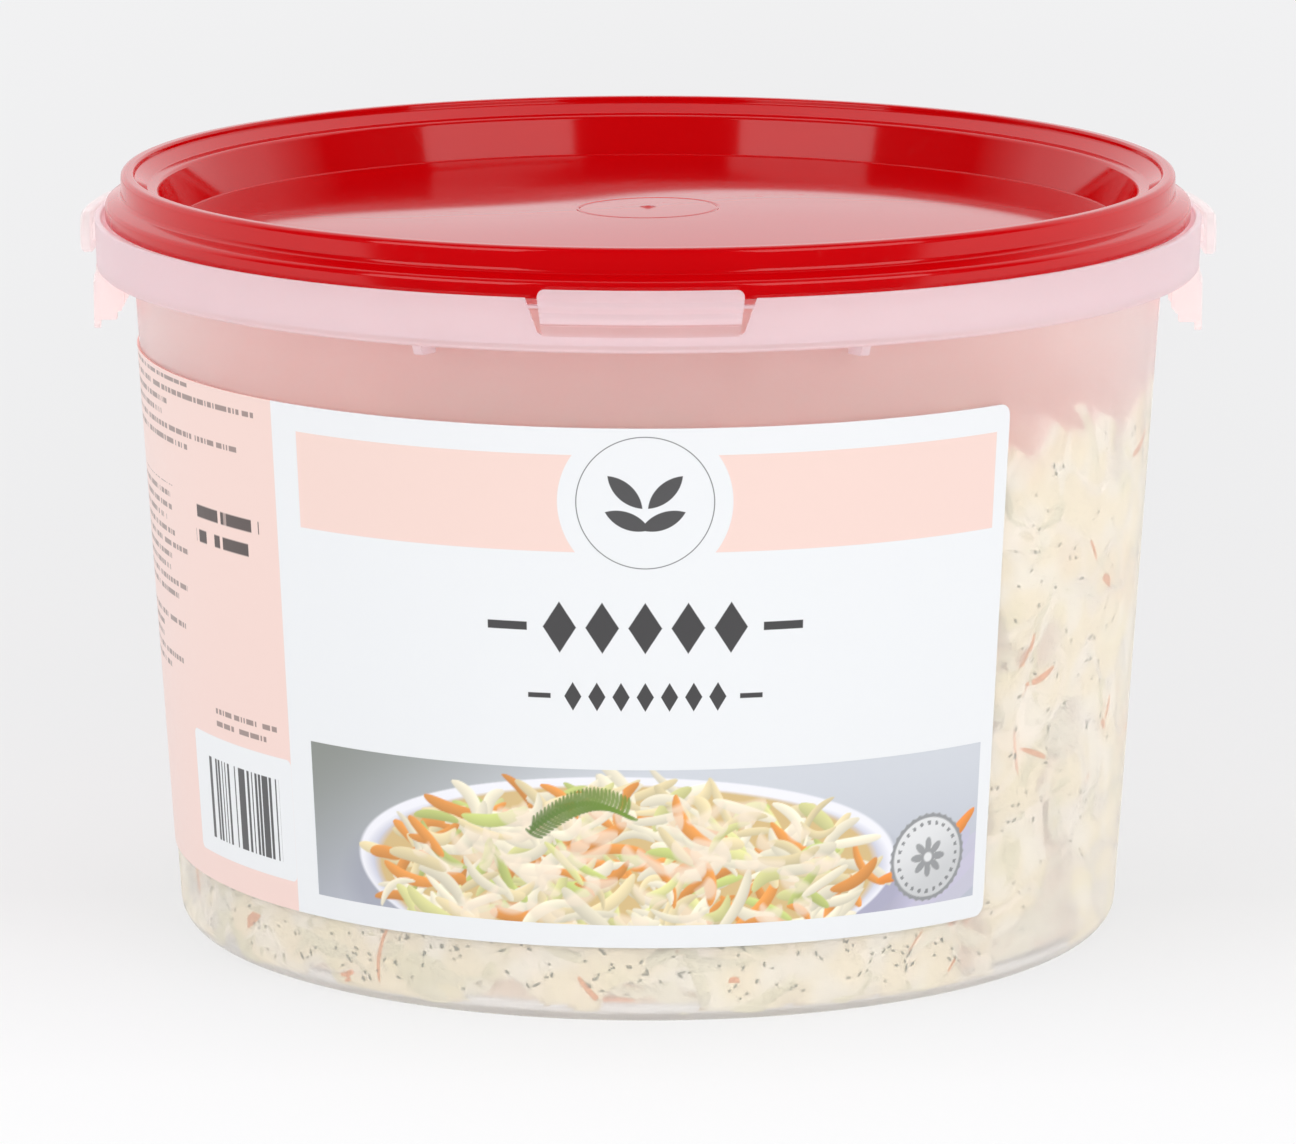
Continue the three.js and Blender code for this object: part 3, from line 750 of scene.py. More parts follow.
def gate_groove(radius):
    """A shallow engraved ring round the middle, and a small nub where the mould was filled."""
    groove = math.exp(-((radius - GATE_RING_RADIUS) / (GATE_RING_WIDTH * 0.5)) ** 2)
    nub = math.exp(-(radius / 0.9) ** 4)
    return nub * 0.35 - groove * GATE_RING_DEPTH


def panel_rings():
    rings = [LID_PANEL_RADIUS * ring / LID_PANEL_RINGS for ring in range(LID_PANEL_RINGS)]
    rings += [GATE_RING_RADIUS + GATE_RING_WIDTH * step / 4 for step in range(-5, 6)]
    rings += [0.3, 0.6, 0.8, 1.0, 1.3]
    return sorted(rings)


def lid_warp(x, y):
    """The panel is a little out of true: a soft dent at the left and back."""
    dent = math.exp(-((x + 30.0) ** 2 + (y - 34.0) ** 2) / (2 * 26.0 ** 2))
    swell = math.exp(-((x - 34.0) ** 2 + (y - 20.0) ** 2) / (2 * 34.0 ** 2))
    return swell * 0.35 - dent * 0.9


def make_lid(material):
    roof = LID_RIM_FOOT - LID_WALL
    skirt_inner = LID_SKIRT_RADIUS - LID_WALL
    rings = panel_rings()
    under = [(radius, panel_height(radius) - LID_WALL, 0.0) for radius in rings]
    above = [(radius, panel_height(radius) + gate_groove(radius), 0.0) for radius in rings[::-1]]
    corners = [
        *under,
        (LID_PANEL_RADIUS + LID_WALL, LID_PANEL_EDGE_HEIGHT - LID_WALL, 0.8),
        (LID_LEDGE_INNER + LID_WALL, roof, 0.5),
        (LID_RIM_OUTER, roof, 0.5),
        (skirt_inner, LID_SHOULDER_HEIGHT - LID_WALL, 0.5),
        (skirt_inner, LID_SKIRT_FOOT, 0.3),
        (LID_SKIRT_RADIUS, LID_SKIRT_FOOT, 0.3),
        (LID_SKIRT_RADIUS, LID_SHOULDER_HEIGHT, 0.9),
        (LID_RIM_OUTER, LID_RIM_FOOT, 0.9),
        (LID_RIM_OUTER, LID_TOP, 0.9),
        (LID_RIM_INNER, LID_TOP, 0.9),
        (LID_RIM_INNER, LID_TOP - 1.2, 0.5),
        (LID_LEDGE_OUTER, LID_LEDGE_HEIGHT, 0.4),
        (LID_LEDGE_INNER, LID_LEDGE_HEIGHT - LID_LEDGE_DROP, 0.8),
        (LID_PANEL_RADIUS, LID_PANEL_EDGE_HEIGHT, 0.25),
        *above,
    ]
    lid = turned("lid_moulding", rounded(corners, closed=False))
    for vertex in lid.data.vertices:
        x, y = vertex.co.x / MM, vertex.co.y / MM
        edge = float(smoothstep(LID_PANEL_RADIUS - 0.5, LID_PANEL_RADIUS - 16.0, math.hypot(x, y)))
        vertex.co.z += lid_warp(x, y) * edge * MM
    return finished(lid, material)


# Handle


def strap_section(height):
    """A rectangle with rounded corners, as (out, up) points."""
    half = height / 2
    return rounded([
        (0.0, -half, STRAP_ROUND),
        (STRAP_THICKNESS, -half, STRAP_ROUND),
        (STRAP_THICKNESS, half, STRAP_ROUND),
        (0.0, half, STRAP_ROUND),
    ])


def make_handle(material):
    vertices, faces = [], []
    count = len(strap_section(STRAP_HEIGHT))
    for step in range(STRAP_SEGMENTS + 1):
        angle = math.pi * step / STRAP_SEGMENTS
        from_middle = abs(math.degrees(angle) - 90.0)
        grip = 1.0 - float(smoothstep(GRIP_HALF_ANGLE - 1.5, GRIP_HALF_ANGLE + 1.5, from_middle))
        for out, up in strap_section(STRAP_HEIGHT + GRIP_EXTRA_HEIGHT * grip):
            x = (STRAP_INNER_X + out) * math.cos(angle)
            y = (STRAP_INNER_Y + out) * math.sin(angle)
            vertices.append((x, y, PIVOT_HEIGHT + up))
    for step in range(STRAP_SEGMENTS):
        bridge(faces, step * count, (step + 1) * count, count)
    faces.append(tuple(reversed(range(count))))
    faces.append(tuple(range(len(vertices) - count, len(vertices))))
    handle = add_object("bail_handle", vertices, faces)
    face_outwards(handle)
    boss = (STRAP_HEIGHT / 2, STRAP_INNER_X, STRAP_INNER_X + STRAP_THICKNESS, 0.45)
    pin = (PIN_RADIUS, PIN_TIP, STRAP_INNER_X + 0.8, 0.3)
    ends = [
        rod("handle_end", radius, start, end, side, PIVOT_HEIGHT, bevel)
        for side in (-1, 1) for radius, start, end, bevel in (boss, pin)
    ]
    combine(handle, "UNION", *ends)
    return finished(handle, material)


# Label


MM_PER_DEGREE = math.radians(1.0) * tub_radius(61.0)


def on_cone(angle, height, lift):
    radius = tub_radius(height) + lift
    return at_turn(radius, math.radians(angle), height)


def cone_patch(name, left, right, foot, top, lift, face, columns, rows=1, corner=0.0):
    """A closed skin on the cone between two angles and two heights, with its corners rounded."""
    vertices, places = [], []

    def trimmed(angle):
        beside = min(angle - left, right - angle) * MM_PER_DEGREE
        if beside >= corner:
            return 0.0
        return corner - math.sqrt(max(0.0, corner ** 2 - (corner - beside) ** 2))

    for column in range(columns + 1):
        share = column / columns
        if corner:
            share = 0.5 - 0.5 * math.cos(math.pi * share)
        angle = left + (right - left) * share
        cut = min(trimmed(angle), (top - foot) * 0.45)
        for row in range(rows + 1):
            height = foot + cut + (top - foot - 2 * cut) * row / rows
            vertices.append(on_cone(angle, height, face))
            places.append((angle, height))
        for height in (foot + cut, top - cut):
            vertices.append(on_cone(angle, height, lift))
            places.append((angle, height))
    stride = rows + 3
    faces = []
    for column in range(columns):
        here, there = column * stride, (column + 1) * stride
        for row in range(rows):
            faces.append((here + row, there + row, there + row + 1, here + row + 1))
        under, over = rows + 1, rows + 2
        faces.append((here + rows, there + rows, there + over, here + over))
        faces.append((here + over, there + over, there + under, here + under))
        faces.append((here + under, there + under, there, here))
    last = columns * stride
    faces.append((*range(rows + 1), rows + 2, rows + 1)[::-1])
    faces.append((*range(last, last + rows + 1), last + rows + 2, last + rows + 1))
    made = add_object(name, vertices, faces)
    layer = made.data.uv_layers.new(name="print")
    for loop in made.data.loops:
        angle, height = places[loop.vertex_index]
        layer.data[loop.index].uv = (angle * MM_PER_DEGREE * MM, height * MM)
    return made


# Print on the label, as angles from the tab and heights. A soft edge is this many millimetres wide
SOFT_EDGE = 0.12
PRINT_WHITE = srgb(234, 236, 238)
PRINT_PINK = srgb(241, 213, 205)
BAND_PINK = srgb(241, 213, 204)
PRINT_INK = srgb(34, 31, 33)
PANEL_LEFT = -44.0
PANEL_SEAM = -42.2
BAND = (-40.3, 41.2, 85.7, 103.0)
DISC_CENTRE = (0.4, 94.6)
DISC_RADIUS = 14.9
RING_RADIUS = 11.7
PICTURE = (-40.5, 41.2, 18.2, 46.6)
CODE_FIELD = (-65.0, -44.0, 19.4, 42.0)
CODE_BARS = (-61.4, -46.3, 22.6, 37.8)
TEXT_BLOCKS = (
    (-118.0, -46.6, 93.8, 107.0, 2.35),
    (-84.0, -63.0, 64.5, 86.5, 2.35),
    (-112.0, -88.0, 64.5, 86.5, 2.35),
    (-100.0, -65.5, 50.0, 61.5, 2.35),
    (-58.5, -45.4, 43.6, 48.4, 2.35),
)
BOLD_BLOCK = (-60.3, -46.4, 77.0, 85.4, 4.6)

# Two leaves on each side of the disc, as place and lean, and the shape that they share
LEAVES = ((3.4, 1.9, 0.78), (3.0, -3.2, 0.39))
LEAF_CURVE = 6.4
LEAF_OFFSET = 4.9

# Rows of lozenges between two rules: height, count, pitch, half sizes, and the start, end and
# weight of the rules
ORNAMENTS = (
    (72.2, 5, 7.4, 2.9, 4.6, 20.5, 27.5, 1.5),
    (59.8, 7, 4.2, 1.5, 2.6, 16.5, 20.5, 0.9),
)


def label_print(paint, part):
    """The panel has a band, a disc and ornaments, and the info part bars and rows of strokes."""
    uv = paint.add("ShaderNodeUVMap", uv_map="print")
    across, up = [value / MM for value in paint.parts(uv.outputs[0])[:2]]

    def box(left, right, foot, top, corner=0.0):
        half_width = (right - left) * MM_PER_DEGREE / 2
        half_height = (top - foot) / 2
        beside = abs(across - (left + right) / 2 * MM_PER_DEGREE) - (half_width - corner)
        over = abs(up - (top + foot) / 2) - (half_height - corner)
        if not corner:
            return (-beside.act("MAXIMUM", over)).above(0.0, SOFT_EDGE)
        beside = beside.act("MAXIMUM", 0.0)
        over = over.act("MAXIMUM", 0.0)
        distance = (beside * beside + over * over).act("SQRT") - corner
        return (-distance).above(0.0, SOFT_EDGE)

    def strokes(left, right, foot, top, pitch, width, weight, gaps):
        """Rows of short dark strokes of uneven length, like print seen from afar."""
        rows = (up - foot) / pitch
        row = rows.act("FLOOR")
        inside = (-(abs(rows.act("FRACT") - 0.5))).above(-weight / 2, 0.06)
        cell = (across / width + row * 7.3).act("FLOOR")
        spread = paint.add("ShaderNodeCombineXYZ")
        paint.link(cell, spread.inputs[0])
        paint.link(row, spread.inputs[1])
        draw = paint.add("ShaderNodeTexWhiteNoise", noise_dimensions="2D")
        paint.link(spread.outputs[0], draw.inputs["Vector"])
        kept = paint.term(draw.outputs["Value"]).above(gaps, 0.01)
        ends = paint.add("ShaderNodeTexWhiteNoise", noise_dimensions="1D")
        paint.link(row, ends.inputs["W"])
        reach = paint.term(ends.outputs["Value"]) * (right - left) * 0.35 * MM_PER_DEGREE
        short = (-(across - right * MM_PER_DEGREE + reach)).above(0.0, 0.1)
        return inside * kept * short * box(left, right, foot, top)

    in_panel = (across - PANEL_LEFT * MM_PER_DEGREE).above(0.0, SOFT_EDGE)
    colour = paint.mix(in_panel, PRINT_PINK, PRINT_WHITE)
    if part == "info":
        colour = paint.mix(box(*CODE_FIELD, corner=1.2), colour, PRINT_WHITE)
        bar = paint.add("ShaderNodeTexWhiteNoise", noise_dimensions="1D")
        paint.link((across / 0.36).act("FLOOR"), bar.inputs["W"])
        bars = paint.term(bar.outputs["Value"]).above(0.5, 0.01)
        colour = paint.mix(bars * box(*CODE_BARS) * 0.9, colour, PRINT_INK)
        for left, right, foot, top, pitch in TEXT_BLOCKS:
            marks = strokes(left, right, foot, top, pitch, 0.45, 0.42, 0.30)
            colour = paint.mix(marks * 0.62, colour, PRINT_INK)
        left, right, foot, top, pitch = BOLD_BLOCK
        marks = strokes(left, right, foot, top, pitch, 0.95, 0.5, 0.25)
        return paint.mix(marks * 0.9, colour, PRINT_INK)

    colour = paint.mix(box(*BAND), colour, BAND_PINK)
    around = across - DISC_CENTRE[0] * MM_PER_DEGREE
    over = up - DISC_CENTRE[1]
    from_disc = (around * around + over * over).act("SQRT")
    colour = paint.mix((-from_disc).above(-DISC_RADIUS, SOFT_EDGE), colour, PRINT_WHITE)
    colour = paint.mix((-abs(from_disc - RING_RADIUS)).above(-0.09, 0.1) * 0.8, colour, PRINT_INK)

    def leaf(x, y, lean):
        """A leaf where two circles overlap, leaning to one side, and its mirror image."""
        along_x, along_y = math.cos(lean), math.sin(lean)
        outwards = abs(around) - x
        beside = outwards * along_y - (over - y) * along_x
        ahead = outwards * along_x + (over - y) * along_y
        square = ahead * ahead
        near = ((beside + LEAF_OFFSET) * (beside + LEAF_OFFSET) + square).act("SQRT")
        far = ((beside - LEAF_OFFSET) * (beside - LEAF_OFFSET) + square).act("SQRT")
        return (-near.act("MAXIMUM", far)).above(-LEAF_CURVE, SOFT_EDGE)

    for x, y, lean in LEAVES:
        colour = paint.mix(leaf(x, y, lean) * 0.92, colour, PRINT_INK)
    for level, lozenges, pitch, half_width, half_height, start, end, weight in ORNAMENTS:
        rise = up - level
        inner = -abs(around) + (lozenges * pitch / 2)
        step = abs((around / pitch + 0.5 * (lozenges % 2)).act("FRACT") - 0.5) * pitch
        shape = (-(step / half_width + abs(rise) / half_height)).above(-1.0, 0.06)
        colour = paint.mix(shape * inner.above(0.0, 0.05) * 0.95, colour, PRINT_INK)
        rule = (-abs(abs(around) - (start + end) / 2)).above(-(end - start) / 2, SOFT_EDGE)
        rule = rule * (-abs(rise)).above(-weight / 2, SOFT_EDGE)
        colour = paint.mix(rule * 0.95, colour, PRINT_INK)
    return colour


def label_material(part):
    paint = Paint("label_" + part)
    colour = label_print(paint, part)
    grain = paint.noise(700.0, detail=1.0)
    body = paint.principled(colour, grain * 0.14 + 0.30, IOR=FILM_IOR)
    paint.bump(paint.noise(55.0), 0.0001, body)
    return paint.finish(body)


def make_label():
    label = cone_patch(
        "label_skin", LABEL_RIGHT_EDGE - LABEL_WRAP, LABEL_RIGHT_EDGE, LABEL_FOOT, LABEL_TOP,
        LABEL_LIFT, LABEL_FACE, columns=320, corner=LABEL_CORNER,
    )
    finished(label, label_material("panel"), label_material("info"))
    for face in label.data.polygons:
        x, y, _ = face.center
        face.material_index = int(math.degrees(math.atan2(x, -y)) < PANEL_SEAM or x < 0 < y)
    return label


# Picture on the label, painted by rule on a fine grid

PICTURE_GRID = 0.2
PAINTED_SHREDS = 430
PAINTED_DRESSING = 70


class Canvas:
    """A grid of colours in millimetres from the picture's lower left corner."""

    def __init__(self, width, height, step):
        self.columns = round(width / step)
        self.rows = round(height / step)
        x = (np.arange(self.columns + 1)) * width / self.columns
        y = (np.arange(self.rows + 1)) * height / self.rows
        self.x, self.y = np.meshgrid(x, y, indexing="ij")
        self.colour = np.zeros((self.columns + 1, self.rows + 1, 3))

    def lay(self, mask, colour):
        share = np.clip(mask, 0.0, 1.0)[..., None]
        self.colour = self.colour * (1 - share) + np.asarray(colour) * share

    def ellipse(self, x, y, half_width, half_height, softness=0.25):
        far = np.hypot((self.x - x) / half_width, (self.y - y) / half_height)
        return np.clip((1 - far) * min(half_width, half_height) / softness + 0.5, 0, 1)

    def stroke(self, x, y, heading, length, width, bend, softness=0.2):
        """A bent tapering stroke, with how far across it each point lies."""
        cos, sin = math.cos(heading), math.sin(heading)
        along = (self.x - x) * cos + (self.y - y) * sin
        across = (self.y - y) * cos - (self.x - x) * sin - bend * (along / length) ** 2 * 4
        share = np.clip(np.abs(along) * 2 / length, 0, 1)
        half = width / 2 * np.sqrt(np.clip(1 - share ** 3, 0, 1))
        mask = np.clip((half - np.abs(across)) / softness + 0.5, 0, 1)
        mask = mask * (np.abs(along) < length / 2)
        return mask, across / width


SHRED_COLOURS = (
    (0.34, (246, 238, 214)),
    (0.58, (238, 222, 178)),
    (0.74, (228, 226, 160)),
    (0.92, (236, 160, 84)),
    (1.01, (204, 214, 132)),
)


# The bowl from its shadow to its contents: lift, half sizes as shares, softness, opacity, colour
BOWL_ROUNDS = (
    (-4.0, 0.41, 0.74, 2.0, 0.5, (150, 152, 168)),
    (1.0, 0.39, 0.62, 0.25, 1.0, (240, 240, 246)),
    (0.2, 0.375, 0.575, 0.8, 1.0, (205, 206, 220)),
    (0.0, 0.36, 0.60, 0.6, 1.0, (214, 186, 132)),
)


def paint_picture(width, height):
    """A bowl of shredded salad on a pale table, with a leaf sprig and carrot sticks beside it."""
    canvas = Canvas(width, height, PICTURE_GRID)
    draw = random.Random(11)
    x, y = canvas.x, canvas.y
    sky = smoothstep(0.0, height, y)[..., None]
    canvas.colour = np.array(srgb(186, 190, 202)) * (1 - sky) + np.array(srgb(206, 210, 217)) * sky
    corner = smoothstep(0.55, 0.0, x / width + (height - y) / height * 0.35)
    canvas.lay(corner * 0.85, srgb(122, 126, 116))
    for fold in range(5):
        mask, side = canvas.stroke(width - 4 - fold * 5, 3.0 + fold * 0.6, 0.5, 30, 6.0, 1.5)
        canvas.lay(mask * 0.5, srgb(206 - fold * 5, 200 - fold * 5, 218))
    middle, level = width * 0.47, height * 0.30
    for lift, broad, tall, softness, share, colour in BOWL_ROUNDS:
        shape = canvas.ellipse(middle, level + lift, width * broad, height * tall, softness)
        canvas.lay(shape * share, srgb(*colour))
    heap_x, heap_y = width * 0.36, height * 0.60

    def in_heap(limit):
        turn = draw.uniform(0, 2 * math.pi)
        reach = math.sqrt(draw.random()) * limit
        return middle + heap_x * reach * math.cos(turn), level + heap_y * reach * math.sin(turn)

    for _ in range(PAINTED_SHREDS):
        cx, cy = in_heap(0.97)
        if cy < -2:
            continue
        length = draw.uniform(5.0, 13.0)
        broad = draw.uniform(1.2, 2.6)
        heading, bend = draw.uniform(-1.2, 1.2), draw.uniform(-2, 2)
        mask, side = canvas.stroke(cx, cy, heading, length, broad, bend)
        pick = draw.random()
        colour = next(value for edge, value in SHRED_COLOURS if pick < edge)
        shade = np.clip(0.92 + side * 0.35, 0.6, 1.08)[..., None]
        tone = np.array(srgb(*colour)) * draw.uniform(0.85, 1.08) * shade
        canvas.lay(mask, np.clip(tone, 0, 1))
    for _ in range(PAINTED_DRESSING):
        cx, cy = in_heap(0.85)
        heading, length, broad = draw.uniform(-0.8, 0.8), draw.uniform(3, 8), draw.uniform(1.5, 3.4)
        mask, side = canvas.stroke(cx, cy, heading, length, broad, 1.0, 0.9)
        shade = np.clip(0.95 + side * 0.2, 0.8, 1.0)[..., None]
        canvas.lay(mask * 0.62, np.array(srgb(250, 234, 212)) * shade)
    for leaf in range(26):
        share = leaf / 25
        stem_x = middle - 16 + share * 17
        stem_y = height * 0.60 + 5.5 * math.sin(share * 2.4)
        for side_turn in (-0.9, 0.9):
            mask, _ = canvas.stroke(stem_x, stem_y + side_turn, 0.45 + side_turn, 3.6, 0.7, 0.3)
            canvas.lay(mask * 0.9, srgb(92 + leaf, 122 + leaf, 58))
    for stick in range(4):
        stick_x, stick_y = width - 14 + stick * 2.4, 7.0 + stick * 1.4
        mask, side = canvas.stroke(stick_x, stick_y, 0.2 + stick * 0.16, 16, 2.2, 0.2)
        shade = np.clip(1 + side * 0.4, 0.7, 1.1)[..., None]
        canvas.lay(mask, np.array(srgb(236, 146, 66)) * shade)
    paint_seal(canvas, width * 0.915, height * 0.31)
    return canvas


SEAL_RADIUS = 8.2


def paint_seal(canvas, centre_x, centre_y):
    """A round seal with a scalloped silver edge, a ring of dots and a plain rosette."""
    dx, dy = canvas.x - centre_x, canvas.y - centre_y
    far, turn = np.hypot(dx, dy), np.arctan2(dy, dx)
    edge = SEAL_RADIUS - 0.28 * np.abs(np.sin(turn * 17))
    canvas.lay(np.clip((edge - far) / 0.2 + 0.5, 0, 1), srgb(148, 150, 152))
    canvas.lay(np.clip((SEAL_RADIUS - 0.9 - far) / 0.2 + 0.5, 0, 1), srgb(226, 227, 228))
    sheen = smoothstep(-6.0, 6.0, dx * 0.5 - dy)
    canvas.lay(sheen * 0.45 * (far < SEAL_RADIUS - 0.9), srgb(168, 170, 172))
    dots = (np.abs(far - (SEAL_RADIUS - 1.9)) < 0.35) * (np.cos(turn * 24) > 0.3)
    canvas.lay(dots * 0.8, srgb(112, 114, 116))
    petals = 1.6 + 2.2 * np.abs(np.cos(turn * 4))
    canvas.lay(np.clip((petals - far) / 0.25, 0, 1) * 0.75, srgb(124, 126, 128))
    canvas.lay(np.clip((1.0 - far) / 0.25, 0, 1), srgb(226, 227, 228))


def make_picture():
    left, right, foot, top = PICTURE
    width = (right - left) * MM_PER_DEGREE
    canvas = paint_picture(width, top - foot)
    made = cone_patch(
        "label_picture", left, right, foot, top, LABEL_FACE - 0.02, LABEL_FACE + 0.02,
        columns=canvas.columns, rows=canvas.rows,
    )
    layer = made.data.color_attributes.new("ink", "FLOAT_COLOR", "POINT")
    stride = canvas.rows + 3
    colours = np.ones((canvas.columns + 1, stride, 4))
    colours[:, : canvas.rows + 1, :3] = canvas.colour
    layer.data.foreach_set("color", colours.astype(np.float32).reshape(-1))
    paint = Paint("picture_film")
    ink = paint.add("ShaderNodeVertexColor", layer_name="ink")
    grain = paint.noise(700.0, detail=1.0)
    film = paint.principled(ink.outputs[0], grain * 0.14 + 0.30, IOR=FILM_IOR)
    return finished(made, paint.finish(film))


# Coleslaw


def inner_radius(height):
    return tub_radius(height) - WALL


def slaw_top(angle):
    """The level of the contents along the wall."""
    turn = math.radians(angle)
    place = Vector((math.cos(turn) * 3.1, math.sin(turn) * 3.1, 4.0))
    waves = ((6.0, 1.0), (5.0, 3.3), (2.0, 8.0))
    return SLAW_TOP + 2.5 + sum(size * noise.noise(place * pace) for size, pace in waves)


def void_depth(angle, height):
    """How far the contents lie behind the wall: 0 where they press on it."""
    place = Vector(at_turn(tub_radius(height) / 10.0, math.radians(angle), height / 11.0))
    large = noise.noise(place * 0.75 + Vector((3.0, 8.0, 1.0)))
    small = noise.noise(place * 1.9 + Vector((11.0, 2.0, 5.0)))
    field = large * 0.9 + small * 0.28
    near_foot = 0.40 * math.exp(-height / 9.0)
    near_top = 0.28 * math.exp(-max(0.0, slaw_top(angle) - height) / 7.0)
    level = 0.42 - near_foot - near_top
    depth = 2.2 * float(smoothstep(level, level + 0.05, field))
    crease = abs(noise.noise(place * 0.8 + Vector((4.0, 9.0, 6.0))))
    depth += 0.4 * float(smoothstep(0.12, 0.0, crease))
    foot = 3.2 + 2.4 * small
    under = max(0.0, foot - height)
    return depth + 0.18 * under ** 1.7


def slaw_angles():
    """Close columns where no label hides the contents, wider ones behind it."""
    angles = []
    angle = -180.0
    while angle < 180.0 - 1e-6:
        angles.append(angle)
        if LABEL_RIGHT_EDGE - LABEL_WRAP + 3.0 < angle < -60.0:
            angle += 1.2
        elif -60.0 <= angle < LABEL_RIGHT_EDGE - 5.0:
            angle += 0.7
        else:
            angle += 0.6
    return angles


def make_slaw_mass(material):
    rows, top_rings = 165, 22
    angles = slaw_angles()
    count = len(angles)
    grid = []
    for angle in angles:
        top = slaw_top(angle)
        column = []
        for row in range(rows + 1):
            height = SLAW_FLOOR + 0.6 + (top - SLAW_FLOOR - 0.6) * row / rows
            depth = void_depth(angle, height)
            shoulder = 2.2 * float(smoothstep(rows - 2, rows, row))
            radius = inner_radius(height) + SLAW_INTO_WALL - depth - shoulder
            column.append((angle, radius, height, depth))
        grid.append(column)
    vertices, gaps = [], []
    for row in range(rows + 1):
        for column in range(count):
            angle, radius, height, gap = grid[column][row]
            gaps.append(gap)
            vertices.append(at_turn(radius, math.radians(angle), height))
    for ring in range(1, top_rings):
        share = 1 - ring / top_rings
        for column in range(count):
            angle, radius, height, _ = grid[column][rows]
            x, y, _ = at_turn(radius * share, math.radians(angle), 0.0)
            bumps = 3.0 * noise.noise(Vector((x / 11, y / 11, 2.0)))
            bumps += 1.2 * noise.noise(Vector((x / 4, y / 4, 7.0)))
            rise = (height - SLAW_TOP) * share ** 2
            vertices.append((x, y, SLAW_TOP + rise + bumps * (1 - share ** 4)))
    faces = []
    for ring in range(rows + top_rings - 1):
        bridge(faces, ring * count, (ring + 1) * count, count)
    for start, height in ((0, SLAW_FLOOR + 0.6), (len(vertices) - count, SLAW_TOP + 0.5)):
        hub = len(vertices)
        vertices.append((0.0, 0.0, height))
        for column in range(count):
            following = (column + 1) % count
            faces.append((start + following, start + column, hub) if start == 0
                         else (start + column, start + following, hub))
    mass = add_object("slaw_mass", vertices, faces)
    layer = mass.data.color_attributes.new("cream", "FLOAT_COLOR", "POINT")
    gaps += [0.0] * (len(vertices) - len(gaps))
    # The colours carry painted shade where the cream lies back from the wall
    shades = [(*slaw_colour(*vertex, gap), 1.0) for vertex, gap in zip(vertices, gaps)]
    colours = np.array(shades, dtype=np.float32)
    layer.data.foreach_set("color", colours.reshape(-1))
    return finished(mass, material, angle=80.0)


STRIP_FLAT = 0.7


def strip(path, ups, width, thickness, vertices, faces):
    """A tapering strip along a path: the face of it lies square to its up vectors."""
    count = len(path)
    first = len(vertices)
    for index, (point, up) in enumerate(zip(path, ups)):
        ahead = path[min(index + 1, count - 1)] - path[max(index - 1, 0)]
        side = ahead.cross(up).normalized()
        share = index / (count - 1)
        fullness = math.sin(math.pi * (0.08 + 0.84 * share)) ** 0.5
        half = side * (width / 2 * fullness)
        lift = up * (thickness / 2 * fullness)
        flat = half * STRIP_FLAT
        for corner in (flat + lift, half, flat - lift, -flat - lift, -half, lift - flat):
            vertices.append(tuple(point + corner))
    for index in range(count - 1):
        bridge(faces, first + index * 6, first + (index + 1) * 6, 6)
    last = first + (count - 1) * 6
    faces.append(tuple(range(first + 5, first - 1, -1)))
    faces.append(tuple(range(last, last + 6)))


def wall_path(angle, height, length, climb, curl, sink, steps=7):
    """Points that follow the wall from inside, and the way out of it at each."""
    path, ups = [], []
    for step in range(steps + 1):
        share = step / steps - 0.5
        along = length * share
        heading = climb + curl * share
        z = min(max(height + along * math.sin(heading), 3.2), 104.0)
        turn = math.radians(angle) + along * math.cos(heading) / NECK_RADIUS
        behind = sink + void_depth(math.degrees(turn), z) * 0.8
        radius = inner_radius(z) - behind
        path.append(Vector(at_turn(radius, turn, z)))
        ups.append(Vector(at_turn(1.0, turn, 0.0)))
    return path, ups


def shown_place(draw, margin):
    """An angle and a height at the wall, mostly where no label hides the contents."""
    kind = draw.random()
    if kind < 0.62:
        angle = LABEL_RIGHT_EDGE - 4.0 + draw.random() * (360.0 - LABEL_WRAP + 8.0)
    else:
        angle = draw.uniform(LABEL_RIGHT_EDGE - LABEL_WRAP, LABEL_RIGHT_EDGE)
    top = LABEL_FOOT if 0.62 <= kind < 0.90 else slaw_top(angle) - margin
    return angle, draw.uniform(3.6, top)


def top_path(draw, long):
    """Points of a shred that lies bowed on top of the heap, and the way up at each."""
    reach = math.sqrt(draw.random()) * 80.0
    turn = draw.uniform(0, 2 * math.pi)
    level = SLAW_TOP + draw.uniform(0.4, 3.0)
    middle = Vector((reach * math.cos(turn), reach * math.sin(turn), level))
    heading = draw.uniform(0, math.pi)
    bow = draw.uniform(-0.25, 0.25) * long
    forward = Vector((math.cos(heading), math.sin(heading), 0.0))
    sideways = Vector((-math.sin(heading), math.cos(heading), 0.0))
    path, ups = [], []
    for step in range(8):
        share = step / 7 - 0.5
        arch = Vector((0, 0, 2.4 * (0.25 - share * share) * 4 - 1.0))
        path.append(middle + forward * (long * share) + sideways * (bow * 4 * share * share) + arch)
        ups.append(Vector((draw.uniform(-0.2, 0.2), draw.uniform(-0.2, 0.2), 1.0)).normalized())
    return path, ups


def make_shreds(name, material, count, seed, length, width, thickness, sink, bend, on_top):
    """Flat shreds, the first of them on top of the heap and the rest along the wall."""
    draw = random.Random(seed)
    vertices, faces = [], []
    for number in range(count):
        long = draw.uniform(*length)
        wide = draw.uniform(*width) * (2.4 if number % 7 == 0 else 1.0)
        if number < on_top:
            path, ups = top_path(draw, long)
        else:
            angle, height = shown_place(draw, 3.0)
            climb, curl = draw.uniform(-1.5, 1.5), draw.uniform(-bend, bend)
            path, ups = wall_path(angle, height, long, climb, curl, sink + draw.uniform(0.0, 0.25))
        strip(path, ups, wide, thickness, vertices, faces)
    above_base = [(x, y, max(z, SLAW_FLOOR)) for x, y, z in vertices]
    return finished(add_object(name, above_base, faces), material, angle=60.0)


